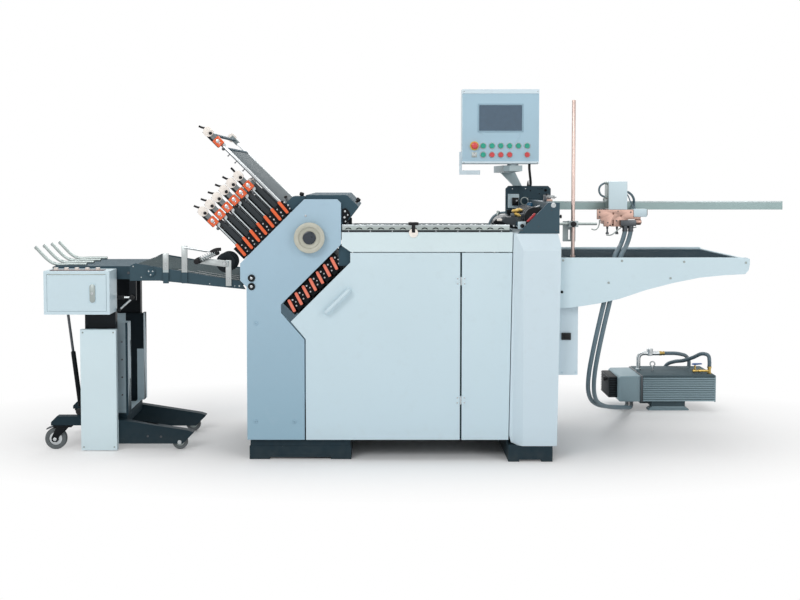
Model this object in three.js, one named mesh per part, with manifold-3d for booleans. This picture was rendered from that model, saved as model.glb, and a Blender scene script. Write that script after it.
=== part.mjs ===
// Paper folding machine: pile feeder, register table, buckle-plate folding unit, wheeled delivery, vacuum pump.
// Millimetres, +X towards the feeder, +Y away from the operator, +Z up, origin on the floor under the folding unit.
import * as THREE from 'three';
import { mergeVertices } from 'three/addons/utils/BufferGeometryUtils.js';
import Module from 'manifold-3d';

const wasm = await Module();
wasm.setup();

// Clearances shared by all pieces
const gap = 0.3;
const overrun = 6;
const runningGap = 4;

// Machine body
const machineWidth = 740;
const plinthHeight = 89;
const plinthLength = 444;
const plinthInset = 16;
const plinthCapHeight = 31;
const plinthCapInset = 4;
const plinthNotchLength = 266;
const plinthNotchHeight = 9;
const plinthSkirt = 60;
const footNotchInset = 48;

// Side plates of the folding unit
const plateThickness = 12;
const plateLeft = -256;
const plateRight = 179;
const plateTop = 1134;
const plateShoulder = 16;
const plateLegLeft = -229;
const plateLegRight = 20;
const plateNoseBottom = 783;
const plateLegShoulder = 755;
const slotLeft = -81;
const slotBottom = 643;
const slotFoot = 527;
const foldUpperRise = 1113;
const foldLowerRise = 760;
const foldAngle = Math.PI / 4;

// Fold rollers and tie bars
const foldPitch = 43.3;
const firstFoldAlong = 472;
const upperPlateCount = 6;
const lowerPlateCount = 7;
const rollerRadius = 17.5;
const rollerRowSpacing = 28.9;
const bearingStrip = 5;
const tieRadius = 12;
const tieInset = 34;
const tieLowHeight = 150;
const tieMidHeight = 560;

// Buckle plates
const mouthClearance = 8;
const railWidth = 14;
const railHeight = 12;
const sheetThickness = 3;
const shortPlateReach = 258;
const shortRailReach = 345;
const longPlateReach = 470;
const longRailReach = 569;
const crossBarWidth = 12;
const crossBarHeight = 10;
const carrierWidth = 12;
const carrierInset = 16;
const lowerPlateLength = 310;
const lowerPlateInset = 12;
const lowerLugLength = 50;
const lowerLugHeight = 9;
const lowerLugOffset = 27;

// Latches, clamps and stop heads on the buckle plates
const latchLength = 62;
const latchHeight = 13;
const latchDepth = 12;
const latchStandoff = 9;
const slotLatchStart = 7;
const slotLatchReach = 58;
const slotLatchLean = 18;
const clampLength = 34;
const clampHeight = 29;
const clampDepth = 18;
const clampSetback = 38;
const camRadius = 19;
const camDepth = 12;
const camOverhang = 11;
const leverDepth = 5;
const leverHeight = 11;
const leverReach = 24;
const leverTipReach = 20;
const leverTipDrop = 13;
const camKnobRadius = 7;
const camKnobDepth = 14;
const camKnobOffset = 4;

// Hand wheel and side buttons
const wheelX = 44;
const wheelZ = 969;
const wheelRadius = 66;
const wheelDepth = 36;
const wheelRim = 17;
const wheelDish = 14;
const wheelHubRadius = 29;
const wheelHubProud = 6;
const wheelShaftRadius = 8;
const sideButtonX = -207;
const sideButtonZ = 794;
const sideButtonPitch = 36;
const sideButtonRadius = 15;
const sideButtonCapRadius = 10;
const sideButtonCollarDepth = 4;
const sideButtonTravelRoom = 5;
const sideButtonCapDepth = 9;

// Infeed hood over the rollers
const hoodLeft = 27;
const hoodTop = 1152;
const hoodShoulder = 205;
const hoodNose = 255;
const hoodNoseZ = 1099;
const hoodChin = 215;
const hoodChinZ = 1047;
const hoodHeel = 183;
const hoodHeelZ = 1020;
const hoodUnderX = 150;
const hoodUnderZ = 1062;
const hoodBackZ = 1100;
const hoodBevel = 24;

// Cabinet
const panelDepth = 22;
const cabinetTop = 903;
const fasciaBottom = 907;
const fasciaTop = 992;
const fasciaChamferX = 39;
const fasciaChamferZ = 27;
const fasciaLeft = 182;
const panelSplit = 697;
const hingeBarrelRadius = 3;
const hingeClearance = 1;
const hingeHeight = 36;
const hingeLeaf = 18;
const hingeLeafThickness = 2;
const hingeUpperZ = 781;
const hingeLowerZ = 263;
const doorFootLeft = 26;
const doorFootTop = 529;
const doorTipX = -38;
const doorTipZ = 605;
const doorShoulderX = 219;
const doorShoulderZ = 861;
const frameTube = 40;
const frameFloor = 12;
const frameLeftPostTop = 470;
const frameRailHeight = 40;
const handleStartX = 114;
const handleStartZ = 648;
const handleEndX = 211;
const handleEndZ = 742;
const handleRadius = 8;
const handleStand = 26;

// Register table between feeder and folding unit
const tableTop = 1000;
const tablePlate = 6;
const tableRollerRadius = 14;
const tableRollerCount = 12;
const tableRollerDrop = 3;
const tableEdge = 40;
const ballRadius = 9;
const ballCount = 14;
const ballRailInset = 34;
const ballRailWidth = 22;
const ballRailHeight = 10;
const ballRailLift = 4;

// Feeder column
const columnTop = 986;
const columnBottom = 70;
const columnTopLeft = 923;
const columnBottomLeft = 908;
const columnTopRight = 1113;
const columnBulge = 1123;
const columnBulgeZ = 938;
const columnBottomRight = 1110;
const columnProud = 35;
const columnChamfer = 39;
const columnTopChamfer = 72;
const columnWall = 8;
const columnToeHeight = 40;
const columnToeLength = 32;
const feederFootLeft = 901;
const feederFootRight = 1093;
const feederFootTab = 5;

// Feeder head
const nearCheekLeft = 942;
const cheekRight = 1120;
const nearCheekTop = 1120;
const nearCheekCrest = 1071;
const farCheekLeft = 972;
const farCheekRight = 1197;
const farCheekTop = 1185;
const farCheekCorner = 14;
const drumX = 1040;
const drumZ = 1048;
const drumRadius = 47;
const drumLength = 420;
const drumShaftRadius = 12;
const unitLeft = 876;
const unitRight = 948;
const unitBase = 1014;
const unitTop = 1052;
const unitNear = -250;
const unitFar = 120;
const unitLeg = 14;
const unitSlope = 24;

// Control panel and its arm
const panelLeft = 723;
const panelRight = 1075;
const panelRise = 106;
const panelHeight = 339;
const panelBottom = farCheekTop + panelRise;
const panelTop = panelBottom + panelHeight;
const panelFront = -60;
const panelBody = 78;
const panelStrip = 20;
const panelStripProud = 3;
const screenLeft = 800;
const screenRight = 997;
const screenTop = panelTop - 0.2124 * panelHeight;
const screenBottom = panelTop - 0.5605 * panelHeight;
const screenDepth = 4;
const rowOneZ = panelBottom + 0.239 * panelHeight;
const rowTwoZ = panelBottom + 0.118 * panelHeight;
const buttonLeft = 779;
const buttonPitch = 40.3;
const buttonRadius = 12;
const buttonTravelRoom = 6;
const buttonCollarRadius = 14;
const buttonCollarDepth = 3;
const buttonHead = 9;
const stopButtonRadius = 16;
const stopButtonHead = 12;
const stopButtonStem = 9;
const grabLeft = 712;
const grabBar = 12;
const grabRight = 808;
const grabDrop = 51;
const grabBottom = panelBottom - grabDrop;
const grabTop = panelBottom + 0.16 * panelHeight;
const grabBase = 20;
const armTopLeft = 914;
const armTopRight = 1001;
const armBaseLeft = 1010;
const armBaseRight = 1050;
const armBaseY = 352;
const armThickness = 34;
const armBend = farCheekTop + 0.61 * panelRise;
const swivelRadius = 26;
const swivelHeight = 8;
const cableRadius = 6;
const cableSteps = 24;
const swivelX = 960;
const swivelY = -21;

// Head rail and suction head
const railRight = 2213;
const railZ = 1098;
const headRailHeight = 39;
const railThickness = 20;
const carrierLeft = 1082;
const headLeft = 1387;
const headRight = 1472;
const headTop = 1209;
const headBottom = 1081;
const headNear = -104;
const headClampThickness = 14;
const headClampDrop = 32;
const sideBoxLeft = 1501;
const sideBoxRight = 1562;
const sideBoxTop = 1084;
const sideBoxBottom = 1048;
const sideBoxDepth = 60;
const gearLeft = 1335;
const gearRight = 1500;
const gearStripHeight = 44;
const gearPlate = 10;
const gearBodyLeft = 1366;
const gearBodyRight = 1470;
const gearBottom = 1004;
const gearKnobRadius = 14;
const gearKnobLength = 40;
const nozzleRadius = 4;
const nozzleReach = 40;
const nozzleZ = 968;
const manifoldLeft = 1436;
const manifoldRight = 1506;
const manifoldTop = 1034;
const manifoldBottom = 1008;
const manifoldDepth = 34;

// Pile tray
const trayRight = 1948;
const trayTop = 876;
const trayWallInset = 18;
const trayWall = 10;
const trayDeep = 215;
const bedTop = 870;
const bedThickness = 22;
const hoseSlotWidth = 42;
const hoseSlotStart = 56;
const hoseSlotEnd = 48;
const trayUndersideShares = [
  [1, 0.11], [0.994, 0.23], [0.977, 0.31], [0.871, 0.33], [0.739, 0.38],
  [0.598, 0.49], [0.458, 0.63], [0.318, 0.81], [0.214, 0.9], [0.073, 0.985], [0, 1],
];
const boxRight = 1216;
const boxBottom = 360;
const boxTop = 700;
const boxNear = -300;
const boxFar = 250;
const switchLeft = 1143;
const switchWidth = 41;
const switchBottom = 516;
const switchHeight = 31;
const switchDepth = 8;

// Pile side guide on its upright rod
const rodX = 1199;
const rodY = -250;
const rodRadius = 8;
const rodTop = 1567;
const guideKnobZ = 1023;
const guideBlock = 20;
const guideBlockHeight = 26;
const guidePlateLeft = 1158;
const guidePlateRight = 1214;
const guidePlateTop = 1034;
const guidePlateBottom = 944;
const guidePlateThickness = 6;
const guideSlotWidth = 8;
const guideSlotLength = 44;
const guideBarRadius = 5.5;
const guideBarRight = 1305;
const guideKnobRadius = 12;
const guideKnobDepth = 22;

// Vacuum pump on the floor behind the tray
const pumpLeft = 1723;
const pumpRight = 2107;
const pumpNear = 590;
const pumpFar = 870;
const pumpBottom = 50;
const pumpTop = 192;
const pumpEdge = 14;
const capLeft = 1599;
const capTaper = 26;
const grilleLeft = 1553;
const grilleInset = 40;
const pumpKnobRadius = 13;
const pumpKnobLength = 23;
const pumpKnobZ = 160;
const baseLeft = 1760;
const baseRight = 1973;
const baseInset = 30;
const baseRail = 22;
const baseFlare = 14;
const inletX = 1735;
const inletY = 740;
const inletRadius = 11.5;
const inletZ = 283;
const regulatorX = 1796;
const regulatorRadius = 17;
const regulatorHeight = 26;
const inletEnd = 1872;
const fittingRadius = 13;
const eyeX = 1801;
const eyeY = 700;
const eyeZ = 233;
const eyeRadius = 12.5;
const eyeWire = 3.5;
const valveLeft = 1997;
const valveX = 2086;
const valveY = 640;
const valveZ = 206;
const valveRadius = 9;
const valveHeight = 24;
const leverX = 2010;
const leverLift = 36;
const leverLength = 54;

// Hoses from the pump to the suction head
const hoseRadius = 10;
const hoseSides = 8;
const hoseSteps = 54;

// Delivery unit
const deliveryHalf = 174;
const legThickness = 40;
const legRight = -495;
const legBottom = 28;
const legTopLeft = 137;
const legTopRight = 88;
const legLeft = -992;
const legNose = 24;
const legHeel = 60;
const casterArmLeft = -1136;
const casterArmBottom = 111;
const casterArmTop = 152;
const casterArmTaper = 26;
const crossLeft = -984;
const crossRight = -800;
const crossTop = 160;
const casterX = -1085;
const casterTrail = 33;
const casterWheelRadius = 49;
const casterWheelWidth = 30;
const casterForkWidth = 48;
const casterForkThickness = 5;
const casterPlate = 8;
const casterPlateHalf = 42;
const casterAxleRadius = 7;
const casterPedal = 34;
const legWheelX = -557;
const legWheelRadius = 35;
const legWheelWidth = 22;
const coverLeft = -992;
const coverRight = -832;
const coverBottom = 5;
const coverTop = 549;
const coverNear = -222;
const sleeveRight = -786;
const sleeveTop = 577;
const sleeveWall = 10;
const liftLeft = -980;
const liftRight = -842;
const liftBottom = 300;
const liftDepth = 34;
const farLiftRight = -803;

// Delivery table
const deliveryTop = 828;
const deliveryFrameBottom = 772;
const deliveryLeft = -1120;
const deliveryRight = -741;
const deliveryNear = -190;
const deliveryFar = 230;
const beltCount = 7;
const beltWidth = 34;
const beltThickness = 2.5;
const beltEndInset = 12;
const stopRodRadius = 7;
const stopRodBendX = -1124;
const stopRodRise = 78;
const stopRodRun = 82;
const stopRodLie = 150;
const controlLeft = -1121;
const controlRight = -833;
const controlBottom = 629;
const controlTop = 820;
const controlNear = -320;
const controlWall = 8;
const controlDoorInset = 14;
const controlDoorThickness = 10;
const latchX = -907;
const latchTop = 763;
const latchBottom = 682;
const latchWidth = 25;
const latchProud = 4;
const topKnobCount = 5;
const topKnobRadius = 9;
const topKnobHeight = 12;
const topKnobInset = 36;
const topKnobPitch = 46;

// Gas strut and height crank
const strutTopX = -1077;
const strutTopZ = 762;
const strutFootX = -1006;
const strutFootZ = 185;
const strutY = -171.5;
const strutRodRadius = 6;
const strutTubeRadius = 10;
const strutTubeLength = 262;
const strutRodInside = 130;
const strutFootHeight = 16;
const strutLugHalf = 10;
const crankX = -762;
const crankZ = 692;
const crankY = -206;
const crankShaftRadius = 7;
const crankReach = 66;
const crankArmRadius = 5;
const crankGripRadius = 10;
const crankGripLength = 30;
const farLiftRise = 112;
const stayRadius = 4.5;
const stayRun = 64;
const stayFall = 58;
const crankHangerWidth = 30;
const crankHangerTop = 800;

// Bridge from the folding unit to the delivery table
const bridgeHalf = 292;
const bridgePlate = 8;
const bridgePivotX = -657;
const bridgePivotZ = 812;
const bridgeLeft = -750;
const bridgeLeftTop = 852;
const bridgeLeftBottom = 775;
const bridgeRight = -243;
const bridgeRightTop = 773;
const bridgeRightBottom = 737;
const bridgeKnee = -620;
const bridgePivotRadius = 18;
const bridgeBarRadius = 9;
const bridgeCordCount = 7;
const bridgeCordRadius = 3;
const pressDiscX = -333;
const pressDiscZ = 852;
const pressDiscRadius = 44;
const pressDiscWidth = 16;
const pressDiscNearY = -250;
const pressDiscFarY = -150;
const pressShaftEnd = -110;
const pressShaftRadius = 8;
const postWidth = 24;
const postThickness = 8;
const postLeftX = -591;
const postLeftTop = 895;
const postMidX = -509;
const postMidTop = 928;
const postMidReach = 98;
const postRightX = -316;
const pressArmX = -448;
const pressArmZ = 864;
const springTurns = 6;
const springTurnSteps = 8;
const springWireSides = 5;
const springRadius = 12;
const springWire = 2.4;
const springLength = 64;
const springLean = 25 * Math.PI / 180;
const springY = -326;
const springRodRadius = 5;
const springKnobRadius = 13;
const springKnobLength = 16;

// Places worked out from the sizes above
const half = machineWidth / 2;
const plateInner = half - plateThickness;
const seat = plateInner - gap;
const foldScale = Math.SQRT1_2;
const upperEdge = foldUpperRise * foldScale;
const lowerEdge = foldLowerRise * foldScale;
const rollerLine = (upperEdge + lowerEdge) / 2;
const upperRow = rollerLine + rollerRowSpacing / 2;
const lowerRow = rollerLine - rollerRowSpacing / 2;
const upperMouth = upperRow + rollerRadius + mouthClearance;
const lowerMouth = lowerRow - rollerRadius - mouthClearance;
const longPlateAlong = firstFoldAlong + upperPlateCount * foldPitch;
const lowerPlateAlong = firstFoldAlong - foldPitch / 2;
const panelInner = half - panelDepth;
const frameHalf = panelInner - gap;
const columnFront = -half - columnProud;

const machine = new THREE.Group();
const foldGroup = new THREE.Group();
foldGroup.rotation.y = foldAngle;
machine.add(foldGroup);

const finishes = {
  plateBlue: [0x9fb9cd, 0.45, 0.1],
  panelWhite: [0xd3e3ea, 0.4, 0.05],
  frameDark: [0x3d5663, 0.55, 0.2],
  footBlack: [0x1f2c34, 0.7, 0.1],
  black: [0x15191c, 0.55, 0.1],
  steel: [0x9aa6a8, 0.35, 0.85],
  roller: [0x7d8a90, 0.3, 0.7],
  wheelCream: [0xb9bcae, 0.45, 0.05],
  copper: [0xdba692, 0.4, 0.6],
  rubber: [0x4b585e, 0.8, 0],
  hose: [0x5b6f7b, 0.6, 0],
  pumpGrey: [0x5f727c, 0.55, 0.3],
  screen: [0x465f74, 0.25, 0],
  red: [0xd24646, 0.4, 0],
  green: [0x17a389, 0.4, 0],
  aluminium: [0xc9ced0, 0.35, 0.8],
};

// Turns a closed three.js geometry into a solid that can be joined and cut.
function solidOf(geometry) {
  const bare = geometry.clone();
  bare.deleteAttribute('normal');
  bare.deleteAttribute('uv');
  const welded = mergeVertices(bare);
  const corners = welded.index.array;
  const kept = [];
  for (let i = 0; i < corners.length; i += 3) {
    const [a, b, c] = [corners[i], corners[i + 1], corners[i + 2]];
    if (a !== b && b !== c && c !== a) kept.push(a, b, c);
  }
  const vertProperties = new Float32Array(welded.attributes.position.array);
  const triVerts = new Uint32Array(kept);
  return new wasm.Manifold(new wasm.Mesh({ numProp: 3, vertProperties, triVerts }));
}

function geometryOf(solid) {
  const { vertProperties, triVerts } = solid.getMesh();
  const geometry = new THREE.BufferGeometry();
  geometry.setAttribute('position', new THREE.BufferAttribute(vertProperties, 3));
  geometry.setIndex(new THREE.BufferAttribute(triVerts, 1));
  geometry.computeVertexNormals();
  return geometry;
}

function joined(solids) {
  return solids.reduce((whole, next) => whole.add(next));
}

function block(x0, x1, y0, y1, z0, z1) {
  const box = new THREE.BoxGeometry(x1 - x0, y1 - y0, z1 - z0);
  box.translate((x0 + x1) / 2, (y0 + y1) / 2, (z0 + z1) / 2);
  return solidOf(box);
}

const axisX = new THREE.Vector3(1, 0, 0);
const axisY = new THREE.Vector3(0, 1, 0);
const axisZ = new THREE.Vector3(0, 0, 1);
const sideways = new THREE.Matrix4().makeBasis(axisX, axisZ, axisY.clone().negate());
const lengthways = new THREE.Matrix4().makeBasis(axisY, axisZ, axisX);

function prism(outline, depth) {
  const shape = new THREE.Shape(outline.map(([u, v]) => new THREE.Vector2(u, v)));
  return new THREE.ExtrudeGeometry(shape, { depth, bevelEnabled: false });
}

// A plate whose outline is drawn in X and Z.
function plateY(outline, y0, y1) {
  const geometry = prism(outline, y1 - y0).applyMatrix4(sideways);
  return solidOf(geometry.translate(0, y1, 0));
}

// A plate whose outline is drawn in X and Y.
function plateZ(outline, z0, z1) {
  return solidOf(prism(outline, z1 - z0).translate(0, 0, z0));
}

// A plate whose outline is drawn in Y and Z.
function plateX(outline, x0, x1) {
  return solidOf(prism(outline, x1 - x0).applyMatrix4(lengthways).translate(x0, 0, 0));
}

function laidBetween(geometry, from, to) {
  const start = new THREE.Vector3(...from);
  const end = new THREE.Vector3(...to);
  const turn = new THREE.Quaternion().setFromUnitVectors(axisY, end.clone().sub(start).normalize());
  geometry.applyQuaternion(turn);
  return geometry.translate(start.x, start.y, start.z);
}

function bar(from, to, radius, sides = 10) {
  const length = new THREE.Vector3(...from).distanceTo(new THREE.Vector3(...to));
  const rod = new THREE.CylinderGeometry(radius, radius, length, sides);
  return solidOf(laidBetween(rod.translate(0, length / 2, 0), from, to));
}

// A square bar between two points of the XZ plane.
function flatBar([x0, z0], [x1, z1], height, y0, y1) {
  const along = new THREE.Vector2(x1 - x0, z1 - z0).normalize();
  const [dx, dz] = [-along.y * height / 2, along.x * height / 2];
  return plateY([[x0 - dx, z0 - dz], [x1 - dx, z1 - dz], [x1 + dx, z1 + dz], [x0 + dx, z0 + dz]], y0, y1);
}

// A turned piece: its profile gives radius and distance along the axis, and starts and ends on the axis.
function turned(profile, from, towards, sides = 16) {
  const points = profile.map(([radius, along]) => new THREE.Vector2(radius, along));
  return solidOf(laidBetween(new THREE.LatheGeometry(points, sides), from, towards));
}

// A smooth round tube through hand-placed points.
function tube(points, radius, sides, steps) {
  const stops = points.map((point) => new THREE.Vector3(...point));
  const path = new THREE.CatmullRomCurve3(stops, false, 'centripetal');
  const ring = [];
  for (let i = 0; i < sides; i += 1) {
    const turn = 2 * Math.PI * i / sides;
    ring.push(new THREE.Vector2(radius * Math.cos(turn), radius * Math.sin(turn)));
  }
  const settings = { extrudePath: path, steps, bevelEnabled: false };
  return solidOf(new THREE.ExtrudeGeometry(new THREE.Shape(ring), settings));
}

function part(name, solid, finishName, parent = machine) {
  const [color, roughness, metalness] = finishes[finishName];
  const mesh = new THREE.Mesh(geometryOf(solid), new THREE.MeshStandardMaterial({ color, roughness, metalness }));
  mesh.name = name;
  parent.add(mesh);
  return mesh;
}

function bothSides(make) {
  return [make(-1), make(1)];
}

// A block that keeps its place on the near side for side -1 and is mirrored to the far side for side 1.
function sideBlock(side, x0, x1, inner, outer, z0, z1) {
  return side < 0 ? block(x0, x1, -outer, -inner, z0, z1) : block(x0, x1, inner, outer, z0, z1);
}

function sidePlate(side, outline, inner, outer) {
  return side < 0 ? plateY(outline, -outer, -inner) : plateY(outline, inner, outer);
}

function circle(x, z, radius, sides) {
  const ring = [];
  for (let i = 0; i < sides; i += 1) {
    const turn = 2 * Math.PI * i / sides;
    ring.push([x + radius * Math.cos(turn), z + radius * Math.sin(turn)]);
  }
  return ring;
}

// The column's slanted left and right faces.
function columnLeftAt(z) {
  return columnBottomLeft + (columnTopLeft - columnBottomLeft) * (z - columnBottom) / (columnTop - columnBottom);
}

function columnRightAt(z) {
  return columnBottomRight + (columnBulge - columnBottomRight) * (z - columnBottom) / (columnBulgeZ - columnBottom);
}

function buildFeet() {
  const reach = half - plinthInset;
  const shoulder = plinthHeight - plinthCapHeight;
  const capReach = reach - plinthCapInset;
  const capHalf = plinthLength / 2 - plinthCapInset;
  const notch = plinthNotchLength / 2;
  let plinth = joined([
    block(-plinthLength / 2, plinthLength / 2, -reach, reach, 0, shoulder),
    block(-capHalf, capHalf, -capReach, capReach, shoulder - overrun, plinthHeight),
  ]);
  for (const side of [-1, 1]) {
    plinth = plinth.subtract(sideBlock(side, -notch, notch, reach - plinthSkirt, reach + overrun,
      -overrun, plinthNotchHeight));
  }

  part('folder_plinth', plinth, 'footBlack');

  const footNear = columnFront + columnWall;
  const footTop = columnBottom - gap;
  const foot = block(feederFootLeft, feederFootRight, footNear, reach, 0, footTop);
  const footNotch = block(feederFootLeft + footNotchInset, feederFootRight - footNotchInset, footNear - overrun,
    footNear + plinthSkirt, -overrun, plinthNotchHeight);
  const tab = block(feederFootLeft, feederFootLeft + feederFootTab, -reach, reach, footTop - overrun, plinthHeight);
  part('feeder_foot', foot.add(tab).subtract(footNotch), 'footBlack');
}

function buildSidePlates() {
  const floor = plinthHeight + gap;
  const outline = [
    [plateLegLeft, floor], [plateLegRight, floor], [plateLegRight, slotFoot], [slotLeft, slotBottom],
    [slotLeft, slotLeft + foldLowerRise], [plateRight, plateRight + foldLowerRise],
    [plateRight, plateTop - plateShoulder], [plateRight - plateShoulder, plateTop],
    [plateTop - foldUpperRise, plateTop], [plateLeft, plateLeft + foldUpperRise],
    [plateLeft, plateNoseBottom], [plateLegLeft, plateLegShoulder],
  ];
  const shaftHole = bar([wheelX, -half - overrun, wheelZ], [wheelX, -plateInner + overrun, wheelZ],
    wheelShaftRadius + 2 * gap, 12);
  const sockets = [0, 1].map((i) => sideButtonZ - i * sideButtonPitch);
  const collars = sockets.map((z) => plateY(circle(sideButtonX, z, sideButtonRadius, 12),
    -half - sideButtonCollarDepth, -half + gap));
  const bores = sockets.map((z) => plateY(circle(sideButtonX, z, sideButtonCapRadius + 2 * gap, 12),
    -half - sideButtonCollarDepth - overrun, -half + sideButtonTravelRoom));
  const nearPlate = joined([plateY(outline, -half, -plateInner), ...collars]);
  part('side_plate_near', nearPlate.subtract(joined([shaftHole, ...bores])), 'plateBlue');

  ['side_button_upper', 'side_button_lower'].forEach((name, i) => {
    const cap = circle(sideButtonX, sockets[i], sideButtonCapRadius, 12);
    part(name, plateY(cap, -half - sideButtonCapDepth, -half), 'steel');
  });

  const left = plateLegLeft + tieInset;
  const right = plateLegRight - tieInset;
  const places = [[left, tieLowHeight], [right, tieLowHeight], [left, tieMidHeight]];
  const ties = places.map(([x, z]) => bar([x, -seat, z], [x, plateInner + gap, z], tieRadius));
  part('side_plate_far', joined([plateY(outline, plateInner, half), ...ties]), 'plateBlue');
}

function buildHood() {
  const outline = [
    [hoodHeel, hoodHeelZ], [hoodChin, hoodChinZ], [hoodNose, hoodNoseZ],
    [hoodShoulder + hoodBevel, hoodTop - hoodBevel], [hoodShoulder, hoodTop], [hoodLeft, hoodTop],
    [hoodLeft, hoodBackZ], [hoodUnderX, hoodUnderZ],
  ];
  part('infeed_hood', plateY(outline, -seat, seat), 'frameDark');
}

// Pieces in the tilted fold group: local -X runs up along the upper buckle plates, local Z across them.
function buildFoldRollers() {
  const rollers = [];
  for (let i = 0; i <= lowerPlateCount; i += 1) {
    const upperAlong = firstFoldAlong - foldPitch / 2 + i * foldPitch;
    const lowerAlong = firstFoldAlong - foldPitch + i * foldPitch;
    rollers.push(bar([-upperRow, -seat, upperAlong], [-upperRow, seat, upperAlong], rollerRadius, 8));
    rollers.push(bar([-lowerRow, -seat, lowerAlong], [-lowerRow, seat, lowerAlong], rollerRadius, 8));
  }
  const lastAlong = firstFoldAlong - foldPitch / 2 + lowerPlateCount * foldPitch;
  const bearings = bothSides((side) => sideBlock(side, -upperRow, -lowerRow, seat - bearingStrip, seat,
    firstFoldAlong - foldPitch, lastAlong));
  part('fold_rollers', joined([...rollers, ...bearings]), 'roller', foldGroup);
}

function bucklePlate(along, mouth, plateReach, railReach) {
  const rails = bothSides((side) => sideBlock(side, -mouth - railReach, -mouth, seat - railWidth, seat,
    along - railHeight / 2, along + railHeight / 2));
  const sheet = block(-mouth - plateReach, -mouth, -seat + railWidth / 2, seat - railWidth / 2,
    along - sheetThickness / 2, along + sheetThickness / 2);
  const cross = block(-mouth - plateReach - crossBarWidth, -mouth - plateReach + gap, -seat + railWidth / 2,
    seat - railWidth / 2, along - crossBarHeight / 2, along + crossBarHeight / 2);
  return [...rails, sheet, cross];
}

// The clamp, cam and lever at the outer end of a buckle plate, and the latch that locks it to the side plate.
function stopHead(along, end) {
  const clampAt = -end + clampSetback;
  const camAt = -end - camOverhang;
  const leverFace = seat + leverDepth;
  const camFace = leverFace + camDepth;
  const pieces = [];
  for (const side of [-1, 1]) {
    pieces.push(sideBlock(side, clampAt - clampLength, clampAt, seat - gap, seat + clampDepth,
      along - clampHeight / 2, along + clampHeight / 2));
    const armEnd = side < 0 ? camAt - leverReach : camAt;
    pieces.push(sideBlock(side, armEnd, clampAt - clampLength + overrun, seat - gap, leverFace,
      along - leverHeight / 2, along + leverHeight / 2));
    pieces.push(sidePlate(side, circle(camAt, along, camRadius, 8), leverFace - gap, camFace));
  }
  pieces.push(flatBar([camAt - leverReach + leverHeight / 4, along],
    [camAt - leverReach - leverTipReach, along - leverTipDrop], leverHeight - leverDepth / 2,
    -leverFace + gap, -seat));
  pieces.push(plateY(circle(camAt + camKnobOffset, along, camKnobRadius, 6),
    -camFace - camKnobDepth, -camFace + gap));
  const start = upperEdge + latchStandoff;
  pieces.push(block(-start - latchLength, -start, -seat - latchDepth, -seat + gap,
    along - latchHeight / 2, along + latchHeight / 2));
  return pieces;
}

// Rails that carry a stack of buckle plates between the side plates.
function carriers(start, outer, firstAlong, lastAlong) {
  return bothSides((side) => sideBlock(side, start, start + carrierWidth, outer - railWidth, outer,
    firstAlong, lastAlong));
}

function buildBucklePlates() {
  const shortPlates = [];
  for (let i = 0; i < upperPlateCount; i += 1) {
    const along = firstFoldAlong + i * foldPitch;
    shortPlates.push(...bucklePlate(along, upperMouth, shortPlateReach, shortRailReach));
    shortPlates.push(...stopHead(along, upperMouth + shortRailReach));
  }
  const lastShort = longPlateAlong - foldPitch;
  shortPlates.push(...carriers(-upperMouth - carrierInset - carrierWidth, seat, firstFoldAlong, lastShort));
  part('upper_buckle_plates', joined(shortPlates), 'steel', foldGroup);

  const longEnd = upperMouth + longRailReach;
  const endBar = block(-longEnd + gap, -longEnd + crossBarWidth, -seat + railWidth / 2, seat - railWidth / 2,
    longPlateAlong - crossBarHeight / 2, longPlateAlong + crossBarHeight / 2);
  const longPlate = [...bucklePlate(longPlateAlong, upperMouth, longPlateReach, longRailReach), endBar,
    ...stopHead(longPlateAlong, longEnd)];
  part('long_buckle_plate', joined(longPlate), 'steel', foldGroup);
}

function buildLowerPlates() {
  const lowerPlates = [];
  const lowerSeat = seat - lowerPlateInset;
  const inner = -lowerMouth + lowerPlateLength;
  const lugStart = -lowerMouth + lowerLugOffset;
  const latchStart = -lowerEdge + slotLatchStart;
  const lastAlong = lowerPlateAlong + (lowerPlateCount - 1) * foldPitch;
  for (let i = 0; i < lowerPlateCount; i += 1) {
    const along = lowerPlateAlong + i * foldPitch;
    lowerPlates.push(block(-lowerMouth, inner, -lowerSeat + railWidth / 2, lowerSeat - railWidth / 2,
      along - sheetThickness / 2, along + sheetThickness / 2));
    lowerPlates.push(block(inner - crossBarWidth, inner - gap,
      -lowerSeat + railWidth / 2, lowerSeat - railWidth / 2, along - crossBarHeight / 2, along + crossBarHeight / 2));
    for (const side of [-1, 1]) {
      lowerPlates.push(sideBlock(side, -lowerMouth, inner, lowerSeat - railWidth, lowerSeat,
        along - railHeight / 2, along + railHeight / 2));
      lowerPlates.push(sideBlock(side, lugStart, lugStart + lowerLugLength, lowerSeat - gap, seat,
        along - lowerLugHeight / 2, along + lowerLugHeight / 2));
    }
    lowerPlates.push(flatBar([latchStart, along + slotLatchLean / 2],
      [latchStart + slotLatchReach, along - slotLatchLean / 2], latchHeight,
      -lowerSeat - latchDepth, -lowerSeat + gap));
  }
  lowerPlates.push(...carriers(-lowerMouth + carrierInset, lowerSeat, lowerPlateAlong, lastAlong));
  part('lower_buckle_plates', joined(lowerPlates), 'frameDark', foldGroup);
}

function buildHandWheel() {
  const rim = wheelRadius - wheelRim;
  const profile = [
    [0, gap - plateThickness], [wheelShaftRadius, gap - plateThickness],
    [wheelShaftRadius, runningGap], [wheelRadius, runningGap], [wheelRadius, wheelDepth],
    [rim, wheelDepth], [wheelHubRadius, wheelDepth - wheelDish],
    [wheelHubRadius, wheelDepth - wheelHubProud], [0, wheelDepth - wheelHubProud],
  ];
  const wheel = turned(profile, [wheelX, -half, wheelZ], [wheelX, -half - wheelDepth, wheelZ], 20);
  part('hand_wheel', wheel, 'wheelCream');
}

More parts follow.
